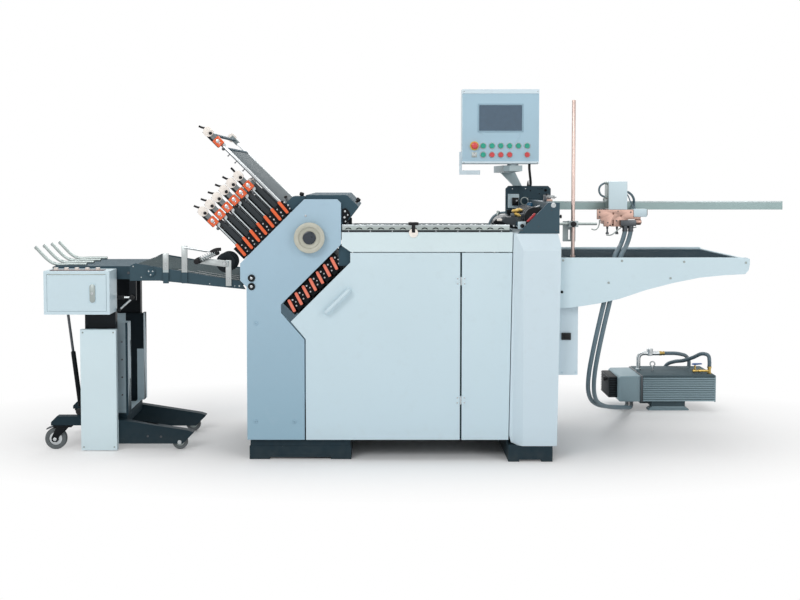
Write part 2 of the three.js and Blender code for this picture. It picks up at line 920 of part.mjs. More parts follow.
function doorOutline() {
  const edge = hingeBarrelRadius + hingeClearance;
  return [
    [doorFootLeft, plinthHeight + gap], [panelSplit - edge, plinthHeight + gap], [panelSplit - edge, cabinetTop],
    [doorShoulderX, cabinetTop], [doorShoulderX, doorShoulderZ], [doorTipX, doorTipZ], [doorFootLeft, doorFootTop],
  ];
}

function buildCabinet() {
  const edge = hingeBarrelRadius + hingeClearance;
  const bottom = plinthHeight + gap;
  const hingePlaces = [hingeUpperZ, hingeLowerZ];

  const doorLeaves = hingePlaces.map((z) => block(panelSplit - edge - hingeLeaf, panelSplit - edge,
    -half - hingeLeafThickness, -half + gap, z - hingeHeight / 2, z + hingeHeight / 2));
  const handleY = -half - handleStand;
  const start = [handleStartX, handleY, handleStartZ];
  const end = [handleEndX, handleY, handleEndZ];
  const feet = [start, end].map(([x, , z]) => bar([x, -half + gap, z], [x, handleY, z], handleRadius - gap, 8));
  const handle = [bar(start, end, handleRadius, 8), ...feet];
  const sheet = plateY(doorOutline(), -half, -panelInner);
  part('cabinet_door', joined([sheet, ...doorLeaves, ...handle]), 'panelWhite');

  const fixedOutline = [
    [panelSplit + edge, bottom], [columnLeftAt(bottom) - runningGap, bottom],
    [columnLeftAt(cabinetTop) - runningGap, cabinetTop], [panelSplit + edge, cabinetTop],
  ];
  const rearOutline = doorOutline();
  rearOutline.splice(1, 3, [columnLeftAt(bottom) - runningGap, bottom],
    [columnLeftAt(fasciaTop) - runningGap, fasciaTop], [fasciaLeft, fasciaTop],
    [fasciaLeft, fasciaBottom + fasciaChamferZ], [doorShoulderX, fasciaBottom]);
  part('rear_panel', plateY(rearOutline, panelInner, half), 'panelWhite');

  const hinges = hingePlaces.map((z) => joined([
    bar([panelSplit, -half - hingeLeafThickness, z - hingeHeight / 2],
      [panelSplit, -half - hingeLeafThickness, z + hingeHeight / 2], hingeBarrelRadius, 8),
    block(panelSplit, panelSplit + edge + hingeLeaf, -half - hingeLeafThickness, -half + gap,
      z - hingeHeight / 2, z + hingeHeight / 2),
  ]));
  part('front_panel', joined([plateY(fixedOutline, -half, -panelInner), ...hinges]), 'panelWhite');

  const railTop = tableTop - tablePlate - gap - tableRollerRadius * 2;
  const rightEnd = columnLeftAt(railTop - frameRailHeight) - runningGap / 2;
  const postRight = columnLeftAt(bottom) - runningGap;
  const pieces = [
    block(plateLegRight - overrun, postRight, -frameHalf, frameHalf, bottom, bottom + frameFloor),
    block(plateLegLeft, plateLegRight, -seat, seat, bottom, bottom + frameFloor),
  ];
  for (const side of [-1, 1]) {
    const inner = frameHalf - frameTube;
    const posts = [
      [doorFootLeft + runningGap, frameLeftPostTop], [panelSplit - frameTube / 2, railTop],
      [postRight - frameTube, railTop],
    ];
    for (const [x, top] of posts) {
      pieces.push(sideBlock(side, x, x + frameTube, inner, frameHalf, bottom + frameFloor / 2, top));
    }
    pieces.push(sideBlock(side, fasciaLeft, rightEnd, inner, frameHalf, railTop - frameRailHeight, railTop));
  }
  part('cabinet_frame', joined(pieces), 'frameDark');
}

function buildRegisterTable() {
  const left = fasciaLeft;
  const right = columnLeftAt(tableTop - tableRollerRadius * 2) - runningGap;
  const railTop = tableTop - tablePlate - gap - tableRollerRadius * 2;
  const windowLeft = left + tableEdge;
  const windowRight = right - tableEdge;
  const inner = frameHalf - frameTube;
  const sills = bothSides((side) => sideBlock(side, left, right, inner, side < 0 ? panelInner + gap : frameHalf,
    railTop + gap, tableTop));
  const ends = [
    block(left, windowLeft, -inner - overrun, inner + overrun, tableTop - tablePlate, tableTop),
    block(windowRight, right, -inner - overrun, inner + overrun, tableTop - tablePlate, tableTop),
  ];
  const fascia = [
    [fasciaLeft + fasciaChamferX, fasciaBottom], [columnLeftAt(fasciaBottom) - runningGap, fasciaBottom],
    [columnLeftAt(fasciaTop) - runningGap, fasciaTop], [fasciaLeft, fasciaTop],
    [fasciaLeft, fasciaBottom + fasciaChamferZ],
  ];
  const pitch = (windowRight - windowLeft) / tableRollerCount;
  const rollers = [];
  const axisHeight = tableTop - tableRollerRadius - tableRollerDrop;
  for (let i = 0; i < tableRollerCount; i += 1) {
    const x = windowLeft + (i + 0.5) * pitch;
    rollers.push(bar([x, -inner - gap, axisHeight], [x, inner + gap, axisHeight], tableRollerRadius));
  }
  const unit = plateY([
    [unitLeft, unitBase], [unitRight, unitBase], [unitRight, unitTop], [unitLeft + unitSlope, unitTop],
    [unitLeft, unitTop - unitSlope],
  ], unitNear, unitFar);
  const unitLegs = [unitNear, unitFar - unitLeg].map((y) => block(unitLeft, unitLeft + unitLeg, y, y + unitLeg,
    tableTop - gap, unitBase + overrun));
  const table = [...sills, ...ends, plateY(fascia, -half, -panelInner), ...rollers, unit, ...unitLegs];
  part('register_table', joined(table), 'frameDark');

  const railY = -frameHalf + ballRailInset;
  const base = tableTop + gap;
  const pieces = [block(windowLeft, windowRight, railY - ballRailWidth / 2, railY + ballRailWidth / 2, base,
    base + ballRailHeight)];
  const ballPitch = (windowRight - windowLeft) / ballCount;
  for (let i = 0; i < ballCount; i += 1) {
    const x = windowLeft + (i + 0.5) * ballPitch;
    const sphere = new THREE.SphereGeometry(ballRadius, 6, 4).rotateX(Math.PI / 2);
    pieces.push(solidOf(sphere.translate(x, railY, base + ballRailHeight + ballRailLift)));
  }
  part('ball_rail', joined(pieces), 'steel');
}

function buildFeeder() {
  const outline = [
    [columnBottomLeft + columnToeLength, columnBottom], [columnBottomRight, columnBottom],
    [columnBulge, columnBulgeZ], [columnTopRight, columnTop], [columnTopLeft, columnTop],
    [columnBottomLeft, columnBottom + columnToeHeight],
    [columnBottomLeft + columnToeLength / 4, columnBottom + columnWall],
  ];
  let column = plateY(outline, columnFront, half);
  const corner = columnBottomLeft - overrun;
  const verticalCut = plateZ([
    [corner, columnFront - overrun], [columnTopLeft + columnChamfer, columnFront - overrun],
    [columnTopLeft + columnChamfer, columnFront], [columnTopLeft, -half], [corner, -half],
  ], columnBottom - overrun, columnTop + overrun);
  const topCut = plateX([
    [columnFront - overrun, columnTop - columnTopChamfer], [columnFront, columnTop - columnTopChamfer],
    [-half - columnWall, columnTop], [-half - columnWall, columnTop + overrun],
    [columnFront - overrun, columnTop + overrun],
  ], corner, columnBulge + overrun);
  const room = plateZ([
    [columnTopLeft + columnWall, -half + columnWall],
    [columnTopLeft + columnChamfer + columnWall, columnFront + columnWall],
    [columnBottomRight - columnWall, columnFront + columnWall], [columnBottomRight - columnWall, half - columnWall],
    [columnTopLeft + columnWall, half - columnWall],
  ], columnBottom - overrun, columnTop - columnTopChamfer - columnWall);
  column = column.subtract(verticalCut).subtract(topCut).subtract(room);
  part('feeder_column', column.add(electricalBox()), 'panelWhite');
}

function electricalBox() {
  const box = plateY([
    [columnRightAt(boxBottom) - gap, boxBottom], [boxRight, boxBottom], [boxRight, boxTop],
    [columnRightAt(boxTop) - gap, boxTop],
  ], boxNear, boxFar);
  const room = block(columnBulge + columnWall, boxRight - columnWall, boxNear + columnWall, boxFar - columnWall,
    boxBottom - overrun, boxTop - columnWall);
  return box.subtract(room).add(block(switchLeft, switchLeft + switchWidth, boxNear - switchDepth, boxNear + gap,
    switchBottom, switchBottom + switchHeight));
}

function buildFeederHead() {
  const seatZ = columnTop + gap;
  const nearOutline = [
    [nearCheekLeft, seatZ], [cheekRight, seatZ], [cheekRight, nearCheekTop], [nearCheekCrest, nearCheekTop],
  ];
  const c = farCheekCorner;
  const farOutline = [
    [farCheekLeft, seatZ], [cheekRight, seatZ], [farCheekRight, seatZ + headClampDrop],
    [farCheekRight, farCheekTop - c], [farCheekRight - c, farCheekTop], [farCheekLeft + c, farCheekTop],
    [farCheekLeft, farCheekTop - c],
  ];
  const railLow = railZ - headRailHeight / 2;
  const railHigh = railZ + headRailHeight / 2;
  const rail = block(cheekRight - overrun, railRight, -railThickness / 2, railThickness / 2, railLow, railHigh);
  const carrier = block(carrierLeft, cheekRight - gap, -plateInner - gap, plateInner + gap, railLow, railHigh);
  const cheeks = [plateY(nearOutline, -half, -plateInner), plateY(farOutline, plateInner, half)];
  part('feeder_head_frame', joined([...cheeks, carrier, rail, ...panelArm()]), 'frameDark');

  const drum = turned([
    [0, -seat], [drumShaftRadius, -seat], [drumShaftRadius, -drumLength / 2], [drumRadius, -drumLength / 2],
    [drumRadius, drumLength / 2], [drumShaftRadius, drumLength / 2], [drumShaftRadius, seat], [0, seat],
  ], [drumX, 0, drumZ], [drumX, half, drumZ], 18);
  part('feed_drum', drum, 'rubber');
}

// Route of the panel cable, chosen by hand: it hangs in a bow behind the arm.
const cableRoute = [
  [1040, 2, panelBottom - 0.5], [1040, 2, panelBottom - 21], [1046, 22, panelBottom - 53],
  [1056, 70, farCheekTop + 23], [1066, 140, farCheekTop + 7], [1074, 215, farCheekTop + 5],
  [1080, 290, farCheekTop + 14], [1084, 340, farCheekTop + 21], [1086, 366, farCheekTop + 18],
  [1087, 386, farCheekTop - 1], [1087, 392, farCheekTop - 30], [1087, 388, farCheekTop - 57],
  [1087, 380, farCheekTop - 63], [1087, 370.8, farCheekTop - 63],
];

function panelArm() {
  const armTop = panelBottom - swivelHeight - gap;
  const armOutline = [
    [armBaseLeft, farCheekTop - gap], [armBaseRight, farCheekTop - gap], [armTopRight, armTop], [armTopLeft, armTop],
  ];
  const slab = plateY(armOutline, armBaseY - armThickness / 2, armBaseY + armThickness / 2);
  const reach = plateX([
    [armBaseY + armThickness / 2, armBend], [swivelY - swivelRadius, armTop - swivelRadius],
    [swivelY - swivelRadius, armTop], [armBaseY + armThickness / 2, armTop],
  ], armTopLeft, armTopRight);
  return [slab, reach];
}

function buildPanel() {
  const back = panelFront + panelBody;
  const armTop = panelBottom - swivelHeight - gap;
  const body = block(panelLeft, panelRight, panelFront, back, panelBottom, panelTop);
  const strips = [[panelBottom, panelBottom + panelStrip / 2], [panelTop - panelStrip, panelTop]].map(([z0, z1]) =>
    block(panelLeft, panelRight, panelFront - panelStripProud, panelFront + overrun, z0, z1));
  const pivot = bar([swivelX, swivelY, armTop + gap], [swivelX, swivelY, panelBottom + overrun], swivelRadius, 14);
  const opening = block(screenLeft, screenRight, panelFront - overrun, panelFront + screenDepth,
    screenBottom, screenTop);
  const grabY = [panelFront + grabBase, panelFront + grabBase + grabBar];
  const grab = joined([
    block(grabLeft, grabLeft + grabBar, ...grabY, grabBottom, grabTop),
    block(grabLeft, grabRight, ...grabY, grabBottom, grabBottom + grabBase),
  ]);
  const glass = block(screenLeft + gap, screenRight - gap, panelFront - gap, panelFront + screenDepth - gap,
    screenBottom + gap, screenTop - gap);
  part('touch_screen', glass, 'screen');

  const stop = turned([
    [0, 0], [buttonRadius, 0], [buttonRadius, stopButtonStem], [stopButtonRadius, stopButtonStem],
    [stopButtonRadius, stopButtonStem + stopButtonHead], [0, stopButtonStem + stopButtonHead],
  ], [buttonLeft, panelFront, rowOneZ], [buttonLeft, panelFront - half, rowOneZ], 14);
  part('emergency_stop', stop, 'red');

  const across = (column) => buttonLeft + column * buttonPitch;
  const cap = ([column, z]) => plateY(circle(across(column), z, buttonRadius, 8),
    panelFront - buttonHead, panelFront);
  const collar = ([column, z]) => plateY(circle(across(column), z, buttonCollarRadius, 8),
    panelFront - buttonCollarDepth, panelFront + gap);
  const socket = ([column, z]) => plateY(circle(across(column), z, buttonRadius + 2 * gap, 8),
    panelFront - overrun, panelFront + buttonTravelRoom);
  const greens = [...[1, 2, 3, 4, 5, 6].map((column) => [column, rowOneZ]), [1, rowTwoZ]];
  const reds = [2, 3, 4, 6].map((column) => [column, rowTwoZ]);
  const places = [...greens, ...reds];
  const stopSocket = bar([buttonLeft, panelFront - overrun, rowOneZ],
    [buttonLeft, panelFront + buttonTravelRoom, rowOneZ], buttonRadius + 2 * gap, 14);
  const cuts = joined([opening, stopSocket, ...places.map(socket)]);
  part('panel_housing', joined([body, ...strips, pivot, grab, ...places.map(collar)]).subtract(cuts), 'panelWhite');
  greens.forEach((place, i) => part(`green_button_${i + 1}`, cap(place), 'green'));
  reds.forEach((place, i) => part(`red_button_${i + 1}`, cap(place), 'red'));

  part('panel_cable', tube(cableRoute, cableRadius, 8, cableSteps), 'black');
}

function buildSuctionHead() {
  const top = railZ + headRailHeight / 2;
  const behind = railThickness / 2 + gap;
  const clampTop = top + gap;
  const head = joined([
    block(headLeft, headRight, headNear, -behind, headBottom, headTop),
    block(headLeft, headRight, -behind - overrun, behind + headClampThickness,
      clampTop, clampTop + headClampThickness),
    block(headLeft, headRight, behind, behind + headClampThickness,
      top - headClampDrop, clampTop + headClampThickness),
  ]);
  const sideBox = block(sideBoxLeft, sideBoxRight, headNear, headNear + sideBoxDepth, sideBoxBottom, sideBoxTop);
  part('suction_head', head, 'panelWhite');

  const stripTop = headBottom - gap;
  const gearFace = headNear + gearPlate;
  const gearKnobZ = sideBoxBottom - gearPlate - gearKnobRadius + 2 * gap;
  const pieces = [
    block(gearLeft, gearRight, headNear, gearFace, stripTop - gearStripHeight, stripTop),
    block(gearBodyLeft, gearBodyRight, gearFace - gap, -behind, gearBottom + gearPlate, stripTop),
    block(gearBodyLeft, gearBodyRight, headNear, gearFace, gearBottom, stripTop - gearStripHeight + gap),
    block(gearRight - overrun, sideBoxRight - sideBoxDepth / 2, gearFace - gap, gearFace + gearPlate,
      sideBoxBottom - gearPlate, sideBoxBottom + gap),
    block(gearRight - gearPlate * 2, gearRight, gearFace - gap, gearFace + gearPlate,
      sideBoxBottom - gearPlate, stripTop),
    bar([gearRight - gap, headNear + gearKnobRadius, gearKnobZ],
      [gearRight + gearKnobLength, headNear + gearKnobRadius, gearKnobZ], gearKnobRadius),
    sideBox,
  ];

  for (const x of [gearBodyLeft + nozzleReach / 2, gearBodyRight - nozzleReach]) {
    const y = headNear + gearPlate * 2;
    pieces.push(bar([x, y, gearBottom + gearPlate + gap], [x, y, nozzleZ], nozzleRadius, 8));
    pieces.push(bar([x + nozzleRadius, y, nozzleZ], [x - nozzleReach, y, nozzleZ], nozzleRadius, 8));
  }

  const manifold = block(manifoldLeft, manifoldRight, headNear - manifoldDepth, headNear + gap,
    manifoldBottom, manifoldTop);
  part('separator_gear', joined([...pieces, manifold]), 'copper');
}

function buildTray() {
  const outer = half - trayWallInset;
  const inner = outer - trayWall;
  const left = columnRightAt(trayTop) + gap;
  const length = trayRight - left;
  const underside = trayUndersideShares.map(([along, drop]) => [left + along * length, trayTop - drop * trayDeep]);
  const outline = [[left, trayTop], ...underside.reverse(), [trayRight, trayTop]];
  const walls = bothSides((side) => sidePlate(side, outline, inner, outer));
  const end = block(trayRight - trayWall, trayRight, -inner - overrun / 2, inner + overrun / 2,
    trayTop - trayUndersideShares[0][1] * trayDeep, bedTop + runningGap);
  part('tray_walls', joined([...walls, end]), 'panelWhite');

  const bedRight = trayRight - trayWall - gap;
  const bedSeat = inner - gap;
  const slotNear = -bedSeat - overrun;
  const bed = block(left, bedRight, -bedSeat, bedSeat, bedTop - bedThickness, bedTop);
  const slot = block(left + hoseSlotStart, bedRight - hoseSlotEnd, slotNear, -bedSeat + hoseSlotWidth,
    bedTop - bedThickness - overrun, bedTop + overrun);
  const rod = bar([rodX, rodY, bedTop - bedThickness / 2], [rodX, rodY, rodTop], rodRadius, 12);
  part('tray_bed', bed.subtract(slot).add(rod), 'footBlack');
}

function buildSideGuide() {
  const bore = bar([rodX, rodY, guideKnobZ - half], [rodX, rodY, guideKnobZ + half], rodRadius + gap, 12);
  const body = block(rodX - guideBlock, rodX + guideBlock, rodY - guideBlock, rodY + guideBlock,
    guideKnobZ - guideBlockHeight / 2, guideKnobZ + guideBlockHeight / 2).subtract(bore);
  const plateNear = rodY + guideBlock - gap;
  const plate = block(guidePlateLeft, guidePlateRight, plateNear, plateNear + guidePlateThickness,
    guidePlateBottom, guidePlateTop);
  const slotX = (guidePlateLeft + guidePlateRight) / 2;
  const slot = block(slotX - guideSlotWidth / 2, slotX + guideSlotWidth / 2, plateNear - overrun,
    plateNear + guidePlateThickness + overrun, guidePlateBottom + guideSlotWidth,
    guidePlateBottom + guideSlotWidth + guideSlotLength);
  const reachStart = rodX + guideBlock - gap;
  const reach = bar([reachStart, rodY, guideKnobZ], [guideBarRight, rodY, guideKnobZ], guideBarRadius, 8);
  const knobFace = rodY - guideBlock + gap;
  const knob = plateY(circle(rodX, guideKnobZ, guideKnobRadius, 12), knobFace - guideKnobDepth, knobFace);
  part('side_guide', joined([body, plate.subtract(slot), reach, knob]), 'aluminium');
}

function buildPump() {
  const e = pumpEdge;
  const body = plateX([
    [pumpNear, pumpBottom], [pumpFar, pumpBottom], [pumpFar, pumpTop - e], [pumpFar - e, pumpTop],
    [pumpNear + e, pumpTop], [pumpNear, pumpTop - e],
  ], pumpLeft, pumpRight);

  const cap = plateZ([
    [pumpLeft + gap, pumpNear], [pumpLeft + gap, pumpFar], [capLeft, pumpFar - capTaper],
    [capLeft, pumpNear + capTaper],
  ], pumpBottom, pumpTop - e / 2);

  const grille = block(grilleLeft, capLeft + gap, pumpNear + grilleInset, pumpFar - grilleInset,
    pumpBottom + e, pumpTop - e);
  const knob = bar([grilleLeft + gap, pumpNear + grilleInset * 2, pumpKnobZ],
    [grilleLeft - pumpKnobLength, pumpNear + grilleInset * 2, pumpKnobZ], pumpKnobRadius);

  const footTop = pumpBottom + gap;
  const near = pumpNear + baseInset;
  const far = pumpFar - baseInset;
  const base = joined([
    block(baseLeft + baseFlare, baseRight - baseFlare, near, far, baseRail - overrun, footTop),
    block(baseLeft, baseRight, near, near + baseRail * 2, 0, baseRail),
    block(baseLeft, baseRight, far - baseRail * 2, far, 0, baseRail),
  ]);

  const roof = pumpTop - gap;
  const knee = inletRadius;
  const pipework = joined([
    bar([inletX, inletY, roof], [inletX, inletY, inletZ], inletRadius),
    bar([inletX - knee, inletY, inletZ], [inletEnd - gap, inletY, inletZ], inletRadius - gap),
    bar([regulatorX, inletY, inletZ], [regulatorX, inletY, inletZ + regulatorHeight], regulatorRadius, 12),
    bar([inletEnd - fittingRadius * 2, inletY, inletZ], [inletEnd, inletY, inletZ], fittingRadius, 6),
  ]);

  const ring = new THREE.TorusGeometry(eyeRadius, eyeWire, 6, 12).rotateX(Math.PI / 2).translate(eyeX, eyeY, eyeZ);
  const stem = bar([eyeX, eyeY, roof], [eyeX, eyeY, eyeZ - eyeRadius + eyeWire / 2], eyeWire * 2, 8);

  const valve = joined([
    bar([valveLeft, valveY, valveZ], [valveX, valveY, valveZ], valveRadius, 8),
    bar([valveX, valveY, roof], [valveX, valveY, valveZ + valveHeight], valveRadius + valveRadius / 4, 8),
    bar([leverX, valveY, valveZ], [leverX, valveY, valveZ + leverLift], valveRadius / 2, 6),
    flatBar([leverX - leverLength / 3, valveZ + leverLift], [leverX + leverLength * 2 / 3, valveZ + leverLift],
      valveRadius, valveY - valveRadius, valveY + valveRadius),
  ]);
  part('pump', joined([body, cap, grille, knob, base, pipework, solidOf(ring), stem, valve]), 'pumpGrey');
}

// Routes of the hoses, chosen by hand: from the suction head down through the tray slot to the pump.
const vacuumRoute = [
  [1458, -122, 1007.4], [1458, -122, 985], [1448, -135, 955], [1426, -180, 925], [1396, -264, 910], [1373, -311, 888],
  [1362, -322, 852], [1346, -321, 780], [1326, -321, 690], [1304, -300, 570], [1291, -250, 450], [1292, -165, 340],
  [1310, -60, 245], [1350, 60, 172], [1408, 180, 124], [1478, 310, 88], [1548, 430, 60], [1600, 530, 37],
  [1640, 620, 19], [1668, 710, 10.5], [1690, 800, 10.5], [1725, 885, 10.5], [1790, 935, 10.5], [1880, 950, 10.5],
  [1965, 950, 28], [2030, 944, 85], [2055, 925, 155], [2050, 890, 215], [2018, 838, 252], [1975, 790, 270],
  [1936, 756, 280], [1902, 740, 283], [1872.6, 740, 283],
];
const blowRoute = [
  [1484, -122, 1007.4], [1484, -122, 985], [1474, -137, 955], [1452, -184, 925], [1422, -267, 910], [1399, -313, 888],
  [1386, -324, 852], [1370, -323, 780], [1350, -323, 690], [1328, -302, 570], [1315, -254, 450], [1316, -175, 340],
  [1334, -75, 245], [1372, 45, 172], [1430, 165, 124], [1500, 295, 88], [1570, 417, 60], [1622, 518, 37],
  [1662, 608, 19], [1690, 700, 10.5], [1712, 790, 10.5], [1745, 862, 10.5], [1795, 903, 10.5], [1850, 915, 24],
  [1888, 915, 75], [1908, 910, 140], [1928, 885, 196], [1958, 835, 222], [1990, 785, 236], [2026, 730, 262],
  [2060, 683, 290], [2083, 652, 285], [2086, 640, 255], [2086, 640, 230.5],
];

function buildHoses() {
  part('vacuum_hose', tube(vacuumRoute, hoseRadius, hoseSides, hoseSteps), 'hose');
  part('blow_hose', tube(blowRoute, hoseRadius, hoseSides, hoseSteps), 'hose');
}

function deliveryLeg(side) {
  const inner = deliveryHalf - legThickness / 2;
  const outer = deliveryHalf + legThickness / 2;
  const outline = [
    [legLeft, casterArmTop], [legLeft, casterArmBottom], [legLeft + legHeel / 4, legBottom + legHeel / 2],
    [legLeft + legHeel, legBottom], [legRight - legNose * 2, legBottom], [legRight, legBottom + legNose * 2],
    [legRight, legTopRight - legNose / 3], [legRight - legNose, legTopRight],
    [legLeft + (coverRight - coverLeft), legTopLeft], [legLeft + legNose, casterArmTop],
  ];
  const arm = [
    [casterArmLeft, casterArmBottom], [legLeft + overrun, casterArmBottom], [legLeft + overrun, casterArmTop],
    [casterArmLeft + casterArmTaper, casterArmTop], [casterArmLeft, casterArmTop - casterArmTaper],
  ];
  const well = [legWheelX - legWheelRadius - runningGap, legWheelX + legWheelRadius + runningGap];
  const pocket = sideBlock(side, ...well, deliveryHalf - legWheelWidth / 2 - runningGap,
    deliveryHalf + legWheelWidth / 2 + runningGap, 0, legWheelRadius * 2 + runningGap);
  return sidePlate(side, outline, inner, outer).subtract(pocket).add(sidePlate(side, arm, inner, outer));
}

function buildDeliveryBase() {
  const inner = deliveryHalf - legThickness / 2 + gap;
  const cross = block(crossLeft, crossRight, -inner, inner, casterArmBottom, crossTop);
  const near = -deliveryHalf - legThickness / 2 + gap;
  const cover = plateY([
    [coverLeft, coverBottom], [coverRight, coverBottom], [coverRight, coverTop], [coverLeft, coverTop],
  ], coverNear, near);

  const sleeveBase = crossTop - gap;
  const outer = deliveryHalf + legThickness / 2;
  const sleeve = (side) => joined([
    sideBlock(side, sleeveRight - sleeveWall, sleeveRight, deliveryHalf - legThickness, outer,
      sleeveBase, sleeveTop),
    sideBlock(side, crossLeft, sleeveRight, deliveryHalf - legThickness, deliveryHalf - legThickness + sleeveWall,
      sleeveBase, sleeveTop),
  ]);
  const strutLug = block(strutFootX - strutLugHalf, strutFootX + strutLugHalf, -deliveryHalf - legThickness / 2,
    strutY - strutTubeRadius - gap, casterArmTop - gap, strutFootZ + strutLugHalf);
  const base = joined([...bothSides(deliveryLeg), cross, cover, ...bothSides(sleeve), strutLug]);
  part('delivery_base', base, 'frameDark');
}

function buildCaster(sideName, side, trail) {
  const y = side * deliveryHalf;
  const wheelAt = casterX + trail;
  const fork = joined([
    block(casterX - casterPlateHalf, casterX + casterPlateHalf, y - casterForkWidth / 2, y + casterForkWidth / 2,
      casterArmBottom - gap - casterPlate, casterArmBottom - gap),
    ...[-1, 1].map((cheek) => {
      const inner = y + cheek * (casterForkWidth / 2 - casterForkThickness);
      const outer = y + cheek * casterForkWidth / 2;
      const outline = [
        [wheelAt - casterAxleRadius * 2, casterWheelRadius - casterAxleRadius],
        [wheelAt + casterAxleRadius * 2, casterWheelRadius - casterAxleRadius],
        [casterX + casterPlateHalf / 2, casterArmBottom - casterPlate],
        [casterX - casterPlateHalf / 2, casterArmBottom - casterPlate],
      ];
      return plateY(outline, Math.min(inner, outer), Math.max(inner, outer));
    }),
  ]);
  const pedalEnd = casterX + Math.sign(trail) * (casterPlateHalf + casterPedal);
  const pedalStart = casterX + Math.sign(trail) * (casterPlateHalf - overrun);
  const pedal = flatBar([pedalStart, casterArmBottom - gap - casterPlate / 2],
    [pedalEnd, casterArmBottom - casterPedal / 2], casterPlate / 2, y - casterForkWidth / 3, y + casterForkWidth / 3);
  part(`caster_fork_${sideName}`, fork.add(pedal), 'black');

  const halfWheel = casterWheelWidth / 2;
  const hub = casterForkWidth / 2 - casterForkThickness - gap;
  const wheel = turned([
    [0, -hub], [casterAxleRadius, -hub], [casterAxleRadius, -halfWheel], [casterWheelRadius, -halfWheel],
    [casterWheelRadius, halfWheel], [casterAxleRadius, halfWheel], [casterAxleRadius, hub], [0, hub],
  ], [wheelAt, y, casterWheelRadius], [wheelAt, y + half, casterWheelRadius], 16);
  part(`caster_wheel_${sideName}`, wheel, 'rubber');

  const legHub = legThickness / 2 + gap;
  const bare = turned([
    [0, -legWheelWidth / 2 - runningGap + gap], [casterAxleRadius, -legWheelWidth / 2 - runningGap + gap],
    [casterAxleRadius, -legWheelWidth / 2], [legWheelRadius, -legWheelWidth / 2], [legWheelRadius, legWheelWidth / 2],
    [casterAxleRadius, legWheelWidth / 2], [casterAxleRadius, legWheelWidth / 2 + runningGap - gap],
    [0, legWheelWidth / 2 + runningGap - gap],
  ], [legWheelX, y, legWheelRadius], [legWheelX, y + legHub, legWheelRadius], 16);
  part(`leg_wheel_${sideName}`, bare, 'rubber');
}

function buildLift() {
  const frameTop = deliveryTop;
  const columnTopZ = deliveryFrameBottom + overrun;
  const sleeveInner = deliveryHalf - legThickness + sleeveWall + runningGap;
  const columns = [
    block(liftLeft, liftRight, -sleeveInner - liftDepth, -sleeveInner, liftBottom, columnTopZ),
    block(liftLeft, farLiftRight, sleeveInner, sleeveInner + liftDepth, liftBottom + farLiftRise, columnTopZ),
  ];

  const frame = block(deliveryLeft, deliveryRight, deliveryNear, deliveryFar, deliveryFrameBottom, frameTop);
  const roomDepth = overrun * 2;
  const room = block(deliveryLeft + roomDepth, deliveryRight - roomDepth, deliveryNear + roomDepth,
    deliveryFar - roomDepth, deliveryFrameBottom - overrun, frameTop - roomDepth);
  const straps = bothSides((side) => sideBlock(side, liftLeft, liftRight, sleeveInner, sleeveInner + liftDepth,
    deliveryFrameBottom, frameTop));
  const pivotSeat = bridgeHalf - bridgePlate - gap;
  const pivotBar = bar([bridgePivotX, -pivotSeat, bridgePivotZ], [bridgePivotX, pivotSeat, bridgePivotZ],
    bridgeBarRadius);
  const earInner = deliveryHalf - legThickness;
  const ears = bothSides((side) => sideBlock(side, deliveryRight - overrun, bridgePivotX, earInner,
    earInner + sleeveWall, deliveryFrameBottom, bridgePivotZ + bridgeBarRadius));
  const hanger = block(crankX - crankHangerWidth / 2, crankX + crankHangerWidth / 2, deliveryNear,
    deliveryNear + roomDepth, crankZ - crankHangerWidth / 2, crankHangerTop);
  const stayY = deliveryNear + stayRadius;
  const stay = bar([crankX, stayY, crankZ], [crankX - stayRun, stayY, crankZ - stayFall], stayRadius, 8);
  const strutLug = block(strutTopX - strutLugHalf, strutTopX + strutLugHalf, deliveryNear,
    strutY - strutRodRadius - gap, strutTopZ - strutLugHalf, deliveryFrameBottom + overrun);
  const pieces = [frame.subtract(room), ...columns, ...straps, ...ears, pivotBar, hanger, stay, strutLug];

  const rodZ = deliveryTop + beltThickness + stopRodRadius - gap;
  const pitch = (deliveryFar - deliveryNear) / beltCount;
  for (let i = 0; i < beltCount; i += 1) {
    const y = deliveryNear + (i + 0.5) * pitch;
    pieces.push(block(deliveryLeft + beltEndInset, deliveryRight - beltEndInset,
      y - beltWidth / 2, y + beltWidth / 2, deliveryTop - gap, deliveryTop + beltThickness));
    if (i % 2 === 0) {
      pieces.push(tube([
        [stopRodBendX + stopRodLie, y, rodZ], [stopRodBendX + stopRodLie / 2, y, rodZ],
        [stopRodBendX + stopRodRadius, y, rodZ], [stopRodBendX - stopRodRun / 4, y, rodZ + stopRodRise / 5],
        [stopRodBendX - stopRodRun, y, rodZ + stopRodRise],
      ], stopRodRadius, 8, 8));
    }
  }
  part('lift_frame', joined(pieces), 'frameDark');
}

